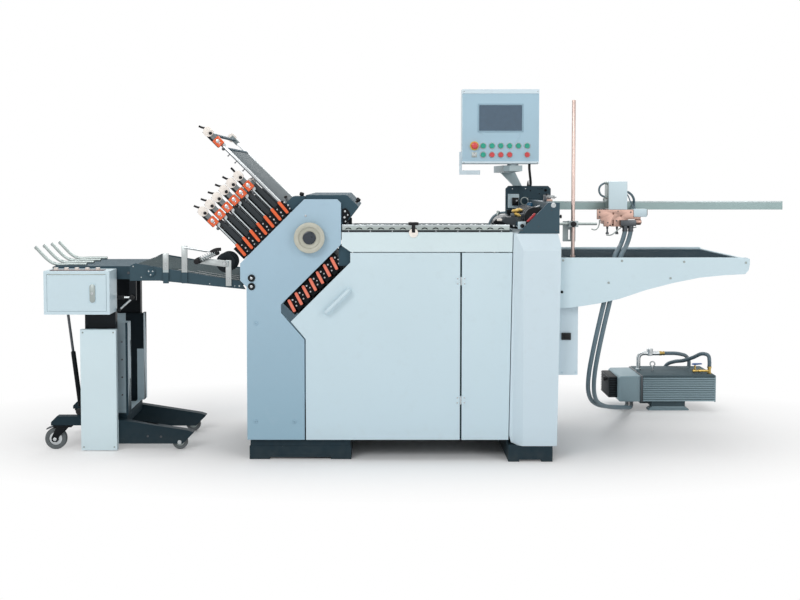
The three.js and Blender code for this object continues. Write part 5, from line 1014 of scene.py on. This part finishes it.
knob("blast_valve_knob", (963, -330, 1018), OUT, 9, 18)
stem("sheet_gap_shaft", (1093, -352, 1106), (1093, 352, 1106), 7, charcoal_metal)
bar("peel_plate", (1100, 1131), (-110, -86), (1119, 1128), copper_plate, 1.5)
coil = []
for step in range(6 * 16 + 1):
    turn = math.tau * step / 16
    coil.append((1108 + 36 * step / 96, COIL_Y + 7 * math.cos(turn), COIL_Z + 7 * math.sin(turn)))
bent("peel_spring", coil, 1.6, spring_wire, steps=0, sides=2, angle=35)
stem("peel_spring_rod", (1096, COIL_Y, COIL_Z), (1150, COIL_Y, COIL_Z), 3)
bar("peel_bracket", (1092, 1104), (-112, -84), (1112, 1148), charcoal_metal, 1.5)
lathe("cheek_screw", (1093, NEAR, 1108), OUT, [(11, -0.3), (11, 2.6), (9.6, 4), (4, 4), (3.2, 2.6)], bright_steel)
screws("cheek_small_screw", NEAR, [(1085, 1087, 2.6), (960, 1000, 3), (1106, 1000, 3), (1030, 1016, 2.4)],
       finish=charcoal_metal)
for i, (x, z, radius) in enumerate((
        (1006, 1170, 3), (1071, 1171, 3), (1096, 1161, 3.4), (1171, 1163, 7), (1153, 1171, 3), (1143, 1169, 2.4),
        (1133, 1171, 2.4), (1140, 1146, 3))):
    lathe(f"far_cheek_hole_{i + 1}", (x, 358, z), OUT, [(radius, -0.2), (radius, 0.7), (radius * 0.7, 0.9)],
          black_paint if i > 1 else bright_steel, 18)
knob("cheek_edge_knob", (1120, -352, 1059), RIGHT, 8, 12)
for i, z in enumerate((1080, 1140)):
    stem(f"far_cheek_post_{i + 1}", (1176, 300, z), (1176, 358, z), 6, charcoal_metal)


# ---------------------------------------------------------------- suction head and separator gear

HEAD = "suction_head"
GEAR_FACE = -104
bar("suction_box", (1388, 1472), (-104, -10.4), (1081, 1209), white_paint, 2.2, HEAD, HEAD, 3)
bar("suction_box_side", (1386.9, 1388.6), (-98, -16), (1086, 1204), rail_steel, 0.5, HEAD)
bar("suction_clamp_top", (1387, 1472), (-14, 24.3), (1117.8, 1132), rail_steel, 1.2, HEAD)
bar("suction_clamp_back", (1387, 1472), (10.3, 24.3), (1086, 1132), rail_steel, 1.2, HEAD)
knob("suction_clamp_knob", (1430, 24, 1100), BACK, 12, 26, body=HEAD)
for name, radius, line in (
        ("loop", 4.6, [(1389, -60, 1202), (1374, -60, 1200), (1356, -60, 1186), (1352, -60, 1166),
                       (1360, -60, 1148), (1378, -60, 1138), (1389, -60, 1136)]),
        ("thick", 5.6, [(1470, -60, 1162), (1484, -60, 1160), (1502, -54, 1148), (1516, -40, 1128),
                        (1521, -24, 1106), (1518, -40, 1086), (1516, -56, 1078)]),
        ("thin", 2.8, [(1470, -78, 1156), (1480, -80, 1144), (1490, -82, 1120), (1500, -84, 1098),
                       (1506, -84, 1080)])):
    bent(f"head_hose_{name}", line, radius, hose_skin, HEAD, 8, 4)
for i, (x, z, way) in enumerate(((1386, 1202, LEFT), (1386, 1136, LEFT), (1472, 1162, RIGHT))):
    lathe(f"head_hose_nipple_{i + 1}", (x, -60, z), way, [(7, -1), (7, 4), (5.6, 5), (5.6, 9)], rail_steel, 14, HEAD)

front = plate("separator_face", [
    (1335, 1080.7), (1335, 1037), (1352, 1037), (1352, 1030), (1366, 1030), (1366, 1004), (1392, 1004),
    (1392, 1012), (1398, 1012), (1398, 1004), (1470, 1004), (1470, 1030), (1478, 1037), (1500, 1037),
    (1500, 1080.7)], GEAR_FACE, GEAR_FACE + 10)
cut(front, block("hole", (1403, 1411), (-120, -80), (1008, 1034), 0),
    turned("hole", (1408, -120, 1063), BACK, [(5, 0), (5, 60)], 20),
    turned("hole", (1444, -120, 1052), BACK, [(4, 0), (4, 60)], 20),
    block("hole", (1450, 1468), (-120, -80), (1016, 1026), 0))
ready(bevelled(front, 1.0), copper_plate, HEAD, "separator_gear")
bar("separator_body", (1368, 1468), (-94, -12), (1014, 1080), copper_plate, 2, HEAD)
bar("separator_dark_bay", (1372, 1464), (-93.6, -60), (1006, 1016), black_paint, 1, HEAD)
screws("separator_screw", GEAR_FACE, [
    (1346, 1070), (1346, 1048), (1488, 1070), (1430, 1074, 2.6), (1424, 1030, 3.4), (1384, 1022, 3.0)], 3.6,
    charcoal_metal, HEAD)
for i in range(5):
    bar(f"separator_tooth_{i + 1}", (1337 + i * 8, 1342 + i * 8), (-103, -95), (1080, 1086), charcoal_metal, 0.8,
        HEAD)
bar("valve_box", (1502, 1562), (-104, -44), (1048, 1084), white_paint, 2, HEAD)
bar("valve_box_end", (1561.4, 1566), (-98, -52), (1054, 1081), charcoal_paint, 1.2, HEAD)
bar("valve_bracket", (1478, 1536), (-94, -84), (1037, 1049), copper_plate, 1, HEAD)
bar("valve_post", (1480, 1500), (-94, -84), (1040, 1078), brass, 1, HEAD)
lathe("separator_knob", (1500, -90, 1024.6), RIGHT, [
    (6, 0), (6, 10), (12.6, 11), (14, 13), (14, 34), (12.6, 36), (8, 38), (7.6, 39.5)], copper_plate, 30, HEAD)
bar("hose_manifold", (1436, 1506), (-138, -104.2), (1008, 1034), charcoal_metal, 2, HEAD)
for i, x in enumerate((1458, 1484)):
    lathe(f"hose_collar_{i + 1}", (x, -122, 1010), DOWN, [
        (13, -2), (13, 10), (11.6, 11.4), (11.6, 22), (12.4, 23), (12.4, 27)], charcoal_metal, 24, HEAD)
for i, line in enumerate((
        [(1350, -84, 1034), (1349, -84, 1014), (1340, -84, 994), (1328, -84, 988), (1314, -84, 992)],
        [(1488, -98, 1030), (1460, -106, 1012), (1430, -110, 990), (1408, -112, 972), (1396, -112, 966),
         (1376, -112, 966)],
        [(1440, -90, 1006), (1452, -94, 1000), (1500, -96, 998), (1516, -96, 1002)])):
    bent(f"sucker_hook_{i + 1}", line, 2.6, rail_steel, HEAD)
for i, x in enumerate((1386, 1430)):
    lathe(f"sucker_{i + 1}", (x, -84, 1006), DOWN, [
        (5, 0), (5, 12), (3.6, 13), (3.6, 26), (6.6, 30), (7.6, 36), (7.2, 38)], charcoal_metal, 20, HEAD)
bar("head_rail_end_cap", (2209, 2213), (-10, 10), (1078.5, 1117.5), black_plastic, 1.5)
slab("head_rail_lip", [(1200, 1112), (2208, 1112), (2208, 1116), (1200, 1116)], -10.9, -9.8, drawn_steel, 0.3)


# ---------------------------------------------------------------- pile tray and side guide

TRAY_FACE = -352
for i, (x, z) in enumerate(((1139, 869), (1394, 867), (1663, 863), (1930, 859), (1337, 772), (1605, 792))):
    screw(f"tray_screw_{i + 1}", (x, TRAY_FACE, z), OUT, 5.0, rail_steel)
    screw(f"tray_far_screw_{i + 1}", (x, -TRAY_FACE, z), BACK, 5.0, rail_steel)
screw("tray_plug", (1135, TRAY_FACE, 732), OUT, 6.0, black_paint)
for name, side in SIDES:
    bent(f"tray_lip_{name}", [(x, side * 347, z) for x, z in (
        (1126, 877), (1500, 877), (1900, 877), (1938, 876), (1946, 869))], 4.2, white_paint, steps=4, angle=35)
for i in range(9):
    bar(f"tray_slat_{i + 1}", (1190, 1920), (-270 + i * 68, -248 + i * 68), (870, 871.6), bed_paint, 0.7)
GUIDE_Y, GUIDE_Z = -250, 1023  # the side guide's rod and bar
lathe("guide_rod_sleeve", (1199, GUIDE_Y, 871), UP, [(11, 0), (11, 12), (8.25, 13), (8.25, 694), (7.2, 695.8)],
      rose_steel, 24)
knob("side_guide_knob", (1196, GUIDE_Y - 20, GUIDE_Z), OUT, 13, 24, body="side_guide")
for name, x0, x1 in (("cover", 1218, 1304.6), ("left", 1128, 1180)):
    stem(f"side_guide_bar_{name}", (x0, GUIDE_Y, GUIDE_Z), (x1, GUIDE_Y, GUIDE_Z), 6.0, rail_steel, "side_guide", 20)
screw("side_guide_screw", (1186, -231, 1010), OUT, 4, body="side_guide")


# ---------------------------------------------------------------- pump

# The core, the lid and the saddle take the darker pump grey: painted shade on the top, between the ribs and under the
# body.
bar("pump_core", (1723, 2103), (596, 864), (52, 182), pump_top, 5, node="pump", segments=3)
rib = plate("pump_rib_1", [(1726, 54), (2104, 54), (2104, 62.8), (1726, 62.8)], 590, 870, 1.4)
for piece in [rib] + [copied(rib, f"pump_rib_{i + 2}", moved(0, 0, (i + 1) * 11.6)) for i in range(10)]:
    ready(piece, pump_paint)
bar("pump_lid", (1722, 2106), (590, 870), (180, 192), pump_top, 5, segments=3)
bar("pump_end_plate", (2100, 2107), (590, 870), (50, 190), pump_paint, 3)
slab("pump_shroud", [(1599, 58), (1606, 50), (1723, 50), (1723, 186), (1610, 185), (1599, 176)], 600, 860,
     pump_paint, 6, segments=3)
slab("pump_joint", [(1714, 48), (1724, 48), (1724, 190), (1714, 190)], 592, 868, charcoal_metal, 2)
bar("pump_grille_core", (1557, 1600), (634, 826), (66, 176), black_paint, 3)
for i in range(12):
    bar(f"pump_grille_slat_{i + 1}", (1553, 1600), (630, 830), (67 + i * 9.2, 71 + i * 9.2), charcoal_paint)
knob("pump_knob", (1553, 670, 160), LEFT, 13, 23)
PUMP_FEET = (("near", 642), ("far", 818))
for side, y in PUMP_FEET:
    slab(f"pump_foot_{side}", [(1760, 0), (1973, 0), (1973, 8), (1950, 22), (1783, 22), (1760, 8)], *about(y, 22),
         pump_paint, 2)
    for j, x in enumerate((1770, 1962)):
        screw(f"pump_foot_bolt_{side}_{j + 1}", (x, y, 12), UP, 6)
for side, y in PUMP_FEET:
    bar(f"pump_rail_{side}", (1762, 1974), (y - 25, y - 21.5), (0.5, 8), pump_paint)
bar("pump_saddle", (1778, 1956), (624, 836), (18, 54), pump_top, 3)
INLET_Y, INLET_Z = 740, 283  # the inlet pipe's level run
VALVE_Y, VALVE_Z = 640, 206
bent("pump_inlet_pipe", [
    (1735, INLET_Y, 188), (1735, INLET_Y, 240), (1736, INLET_Y, 262), (1744, INLET_Y, 276),
    (1758, INLET_Y, INLET_Z), (1800, INLET_Y, INLET_Z), (1850, INLET_Y, INLET_Z)], 11.4, bright_steel, sides=5)
lathe("pump_inlet_nut", (1735, INLET_Y, 190), UP, [(15, 0), (15, 12), (13.4, 13.4)], bright_steel, 6)
lathe("pump_regulator", (1796, INLET_Y, INLET_Z), UP, [
    (14, -12), (16, -10), (16, 8), (17, 9), (17, 24), (15, 26)], bright_steel, 24)
lathe("pump_inlet_fitting", (1846, INLET_Y, INLET_Z), RIGHT, [
    (13, 0), (13, 12), (11, 13), (11, 22), (12.6, 23), (12.6, 27)], brass, 6)
ring("pump_lifting_eye", (1801, 700, 233), BACK, [(12.5 + x, z) for x, z in circle(3.5, 10)], bright_steel, 32)
stem("pump_eye_stem", (1801, 700, 190), (1801, 700, 222), 6)
lathe("pump_valve_body", (2086, VALVE_Y, 190), UP, [
    (11, 0), (11, 8), (9, 9), (9, 30), (11.4, 31), (11.4, 40)], brass, 12)
lathe("pump_valve_arm", (1997, VALVE_Y, VALVE_Z), RIGHT, [
    (9, 0), (9, 16), (7, 17), (7, 30), (9.4, 31), (9.4, 44), (7, 45), (7, 84)], brass, 16)
stem("pump_valve_spindle", (2010, VALVE_Y, VALVE_Z), (2010, VALVE_Y, 240), 4.4, brass)
slab("pump_valve_lever", [(1992, 240), (2000, 246.6), (2046, 246.6), (2046, 242), (2028, 240), (2010, 237.6)],
     631, 649, lever_blue, 1.6)


# ---------------------------------------------------------------- delivery unit

latch_outline = [(-907 + x, (750.5 if z > 0 else 694.5) + z) for x, z in circle(12.5, 24)]
slab("control_latch", latch_outline, -326.4, -320.2, rail_steel, 1.4, "control_box_door")
screw("control_latch_screw", (-907, -326, 722), OUT, 6, body="control_box_door")
for i in range(5):
    lathe(f"top_knob_{i + 1}", (-1076 + i * 46, -284, 819.6), UP, [
        (10.4, 0), (10.4, 3), (9.4, 4), (9.8, 5), (9.8, 11.4), (8.4, 12.8), (2, 13)], cream_plastic, 28, "lift")
bar("top_knob_strip", (-1098, -862), (-306, -262), (820.0, 822.4), strip_brown, 0.8, "lift")
bar("control_hinge", (-1104, -852), (-322, -318), (803, 807), rail_steel, 1, "lift")

BELT_Y, BELT_PITCH = -190, 60  # near edge of the first belt
BELT_TOP = 828 + 2.5
ROD_Z = BELT_TOP + 7 - 0.3  # the stop rods lie on the belts, pressed in a little
for i in range(4):
    y = BELT_Y + (2 * i + 0.5) * BELT_PITCH
    bent(f"stop_rod_{i + 1}", [
        (-974, y, ROD_Z), (-1049, y, ROD_Z), (-1112, y, ROD_Z), (-1144, y, ROD_Z + 15.6),
        (-1204.5, y, ROD_Z + 77)], 7.6, rail_steel, "lift", 8, 4)
    lathe(f"stop_rod_tip_{i + 1}", (-1199.5, y, ROD_Z + 71), (-0.7, 0, 0.7), [(8.2, 0), (8.2, 5), (6, 7)],
          rail_steel, 20, "lift")
for i in range(7):
    bar(f"delivery_belt_{i + 1}", (-1110, -751), about(BELT_Y + (i + 0.5) * BELT_PITCH, 17.4), (828.4, 831.4),
        belt_skin, 1, "lift")
for side, y, way in (("near", BELT_Y, OUT), ("far", 230, BACK)):
    screws(f"delivery_table_screw_{side}", y, [(-1090, 800), (-780, 800)], 6, charcoal_metal, "lift", way)

lathe("crank_shaft", (-762, -190.5, 692), OUT, [(7, 0), (7, 10), (11, 11), (11, 22), (9, 23)], black_plastic, 24,
      "height_crank", "height_crank")
stem("crank_arm", (-762, -206, 692), (-800, -206, 692), 5, body="height_crank")
lathe("crank_grip", (-796, -206, 692), LEFT, [(6, 0), (9.6, 2), (10, 10), (9, 20), (9.6, 28), (7, 31.6)],
      black_plastic, 24, "height_crank")
stem("crank_stay", (-764, -186, 688), (-824, -186, 634), 5.4, body="lift")
knob("crank_stay_knob", (-820, -187, 638), (-0.6, -0.7, -0.5), 10, 18, body="lift")

STRUT_Y = -171.5
foot, top = Vector((-1006, STRUT_Y, 185)), Vector((-1077, STRUT_Y, 762))
way = (top - foot).normalized()
lathe("strut_tube", foot, way, [(9, 0), (10.4, 2), (10.4, 255), (9.6, 259), (6.6, 262)], black_paint, 28,
      "strut_cylinder", "strut_cylinder")
lathe("strut_piston", foot + way * 132, way, [(5.6, 0), (6.1, 1), (6.1, 440), (8.6, 441), (8.6, 449)],
      charcoal_metal, 20, "strut_rod", "strut_rod")
knob("strut_foot_knob", (-1006, -192, 176), OUT, 15, 14, body="delivery")
LEG_FACE = -194
screws("leg_screw", LEG_FACE, [(-700, 62), (-640, 60), (-916, 90), (-860, 88)], 5, charcoal_metal, "delivery")
screws("cover_screw", -222, [(-980, 536), (-844, 536), (-980, 20), (-844, 20)], 3.6, rail_steel, "delivery")
screws("sleeve_screw", LEG_FACE, [(-812, z) for z in (250, 330, 410, 490)], 4, charcoal_metal, "delivery")

SWIVEL_X, CASTER_Z = -1085, 49
LEG_WHEEL_X, LEG_WHEEL_Z = -557, 35
for side, sign in SIDES:
    y = sign * 174
    wheel, fork, leg = f"caster_wheel_{side}", f"caster_fork_{side}", f"leg_wheel_{side}"
    wheel_x = SWIVEL_X + sign * 33
    ring(f"caster_tyre_{side}", (wheel_x, y, CASTER_Z), BACK, [
        (30, -14), (43, -15), (47.4, -12), (49, -6), (49, 6), (47.4, 12), (43, 15), (30, 14)], tyre_rubber, 56,
        wheel, wheel)
    lathe(f"caster_hub_{side}", (wheel_x, y - 18, CASTER_Z), BACK, [
        (7, 0), (7, 2), (14, 3), (14, 5), (29, 7), (31, 9), (31, 27), (29, 29), (14, 31), (14, 33), (7, 34),
        (7, 36)], bright_steel, 40, wheel)
    lathe(f"caster_axle_{side}", (wheel_x, y - 27, CASTER_Z), BACK, [
        (6, 0), (8, 1.4), (8, 3), (5, 3.2), (5, 50.8), (8, 51), (8, 52.6), (6, 54)], bright_steel, 20, fork)
    for k, cheek in enumerate((-1, 1)):
        slab(f"caster_cheek_{side}_{k + 1}", [
            (wheel_x - 15, 42), (wheel_x - 9, 36), (wheel_x + 9, 36), (wheel_x + 15, 42), (wheel_x + 16, 56),
            (SWIVEL_X + 26, 103), (SWIVEL_X - 26, 103), (wheel_x - 16, 56)],
            *sorted((y + cheek * 19, y + cheek * 24)), black_paint, 1.4, fork, None if k else fork)
    bar(f"caster_plate_{side}", (-1127, -1043), about(y, 24), (102.7, 110.7), black_paint, 1.6, fork)
    slab(f"caster_pedal_{side}", [(SWIVEL_X + sign * x, z) for x, z in (
        (34, 104), (44, 108), (72, 97), (76, 91), (70, 91), (42, 102))], *about(y, 15), charcoal_metal, 1.2, fork)
    lathe(f"caster_bearing_{side}", (SWIVEL_X, y, 96), UP, [(17, 0), (20, 2), (20, 6), (17, 7)], bright_steel, 32,
          fork)
    ring(f"leg_tyre_{side}", (LEG_WHEEL_X, y, LEG_WHEEL_Z), BACK, [
        (20, -10), (31, -11), (34, -8), (35, -3), (35, 3), (34, 8), (31, 11), (20, 10)], tyre_rubber, 48, leg, leg)
    lathe(f"leg_hub_{side}", (LEG_WHEEL_X, y - 14, LEG_WHEEL_Z), BACK, [
        (6, 0), (6, 3), (20.6, 6), (20.6, 22), (6, 25), (6, 28)], rail_steel, 32, leg)
    lathe(f"leg_axle_{side}", (LEG_WHEEL_X, -sign * LEG_FACE, LEG_WHEEL_Z), (0, sign, 0), [
        (9, -0.4), (9, 2.4), (7.6, 3.6)], bright_steel, 24, "delivery")


# ---------------------------------------------------------------- bridge

PRESS_X, PRESS_Z = -333, 852
for i, y in enumerate((-250, -150)):
    lathe(f"press_disc_{i + 1}", (PRESS_X, y - 8, PRESS_Z), BACK, [
        (14, -3), (14, 0), (36, 0.6), (41, 1), (44, 3.4), (44, 12.6), (41, 15), (36, 15.4), (14, 16), (14, 19)],
        disc_rubber, 64, "press_wheels", None if i else "press_wheels", 30)
stem("press_shaft", (PRESS_X, -308, PRESS_Z), (PRESS_X, -110, PRESS_Z), 7.8, body="press_wheels", sides=24)
lathe("press_shaft_cap", (PRESS_X, -308, PRESS_Z), OUT, [(9, 0), (9, 3), (7.6, 4.2)], bright_steel, 28, "press_wheels")
arm = plate("press_arm", [
    (-458, 866), (-452, 876), (-440, 877), (-330, 866), (-318, 858), (-316, 848), (-322, 839), (-334, 837),
    (-446, 852), (-456, 856)], -308.6, -299.8, 1.8)
ready(cut(arm, turned("hole", (PRESS_X, -330, PRESS_Z), BACK, [(8.8, 0), (8.8, 60)], 24)), cast_alloy, "bridge")
lean = math.radians(25)
along = Vector((math.cos(lean), 0, math.sin(lean)))
across = Vector(BACK)
upward = along.cross(across)
spring_foot = Vector((-448, -326, 864))
coil = []
for step in range(6 * 20 + 1):
    turn = math.tau * step / 20
    coil.append(spring_foot + along * (18.4 + 64 * step / 120) + across * 12 * math.cos(turn)
                + upward * 12 * math.sin(turn))
bent("press_spring_coil", coil, 2.4, spring_wire, "bridge", 0, node="press_spring")
for name, start, length in (("foot", 0.2, 16.2), ("top", 85.4, 16.8)):
    lathe(f"press_spring_{name}_knob", spring_foot + along * start, along, [
        (14 * 0.8, -0.6), (14, 1), (14, length * 0.8), (14 * 0.84, length)], black_plastic, 30, "bridge")
knob("press_pivot_knob", (-448, -330, 864), OUT, 13, 18, body="bridge")
bent("press_lever", [(-388, -330, 903), (-374, -331, 911), (-362, -331, 915), (-344, -331, 916)], 7.4,
     black_plastic, "bridge", sides=4)
POST_FACE = -301.4
for name, x, z0, z1 in (("left", -591, 822, 896), ("mid", -509, 812, 929), ("right", -316, 752, 866)):
    bar(f"bridge_post_{name}", about(x, 12.6), (POST_FACE, -291.8), (z0, z1), cast_alloy, 1.6, "bridge")
    screws(f"bridge_post_screw_{name}", POST_FACE, [(x, z0 + 18), (x, z0 + 34)], 3.8, body="bridge")
bent("bridge_stop_bar", [(-509, -300, 921), (-460, -301, 915), (-420, -304, 908), (-395, -306, 905)], 4.6,
     bright_steel, "bridge", 4)
FLANGE_X, FLANGE_Z = -657, 812
lathe("bridge_flange", (FLANGE_X, -296, FLANGE_Z), OUT, [(18.4, -0.2), (18.4, 3), (17, 4.4)], slate_paint, 40, "bridge")
screws("bridge_flange_screw", -300, [
    (FLANGE_X + 10 * math.cos(turn), FLANGE_Z + 10 * math.sin(turn)) for turn in (0.5, 2.6, 4.7)], 3.4, body="bridge")
screws("bridge_pin", -292, [
    (-735, 838, 3), (-700, 790), (-270, 752, 4), (-290, 752, 2.4), (-600, 782, 2.4), (-400, 762, 2.4)], 2.6,
    body="bridge")
first_cord = bent("bridge_cord_1", [(-726, -262, 847.5), (-490, -262, 806.9), (-267, -262, 768.5)], 1.8, cord_skin,
                  "bridge", 4)
for i in range(14):
    ready(copied(first_cord, f"bridge_cord_{i + 2}", moved(0, (i + 1) * 36.5)), cord_skin, "bridge", angle=0)


# ---------------------------------------------------------------- floor, lamps and the last lines

bpy.ops.object.select_all(action="DESELECT")
bpy.ops.mesh.primitive_plane_add(size=60)
floor = added("floor")
floor_paint = Finish("floor_paint", "panel_white", Roughness=0.9)
floor_paint.use(Base_Color=floor_paint.mix(
    floor_paint.noise(0.6), linear((240, 240, 240)), linear((246, 246, 246))))
# Past an oval round the machine the floor glows white to the camera, so that it has no horizon.
OVAL_SHARE = (0.42, 0.85, 0)
OVAL_SHIFT = (-0.19, -0.2, 0)
oval = floor_paint.node("ShaderNodeVectorMath", {"operation": "MULTIPLY_ADD"}, {
    0: floor_paint.place, 1: OVAL_SHARE, 2: OVAL_SHIFT})
reach = floor_paint.node("ShaderNodeVectorMath", {"operation": "LENGTH"}, {0: oval}, 1)
glow = floor_paint.seen("Camera", "Glossy") * floor_paint.ramp(reach, 0.5, 1.05)
floor_paint.feed(floor_paint.node("ShaderNodeMixShader", inputs={
    0: glow, 1: Value(floor_paint, floor_paint.shader.outputs[0]),
    2: floor_paint.node("ShaderNodeEmission", inputs={"Strength": 1.0})}),
    floor_paint.tree.nodes["Material Output"].inputs["Surface"])
floor.data.materials.append(floor_paint.material)

SKY_LIGHT = 0.46  # on the machine; to the camera, in gloss and through glass it is 1, white
world = bpy.data.worlds.new("studio")
bpy.context.scene.world = world
world.use_nodes = True
studio = Tree(world.node_tree)
sky = studio.tree.nodes["Background"]
sky.inputs["Color"].default_value = (1, 1, 1, 1)
studio.feed(studio.node("ShaderNodeMix", {"data_type": "FLOAT"}, {
    0: studio.seen("Camera", "Glossy", "Transmission"), 2: SKY_LIGHT, 3: 1.0}), sky.inputs["Strength"])

for name, place, aim, power, size in (
        ("key_lamp", (-2.6, -5.5, 4.2), (0.4, 0, 0.7), 135, (3.0, 2.4)),
        ("fill_lamp", (4.2, -4.6, 2.6), (0.4, 0, 0.7), 56, (2.6, 2.6)),
        ("top_lamp", (0.4, 0.4, 5.0), (0.4, 0, 0), 78, (4.0, 3.0)),
        ("back_lamp", (1.0, 5.0, 3.4), (0.4, 0, 0.7), 78, (4.0, 2.4))):
    light = bpy.data.lights.new(name, "AREA")
    light.energy = power
    light.shape = "RECTANGLE"
    light.size, light.size_y = size
    lamp = bpy.data.objects.new(name, light)
    bpy.context.collection.objects.link(lamp)
    lamp.location = place
    lamp.rotation_euler = (Vector(aim) - Vector(place)).to_track_quat("-Z", "Y").to_euler()
bpy.context.scene.view_settings.view_transform = "Standard"
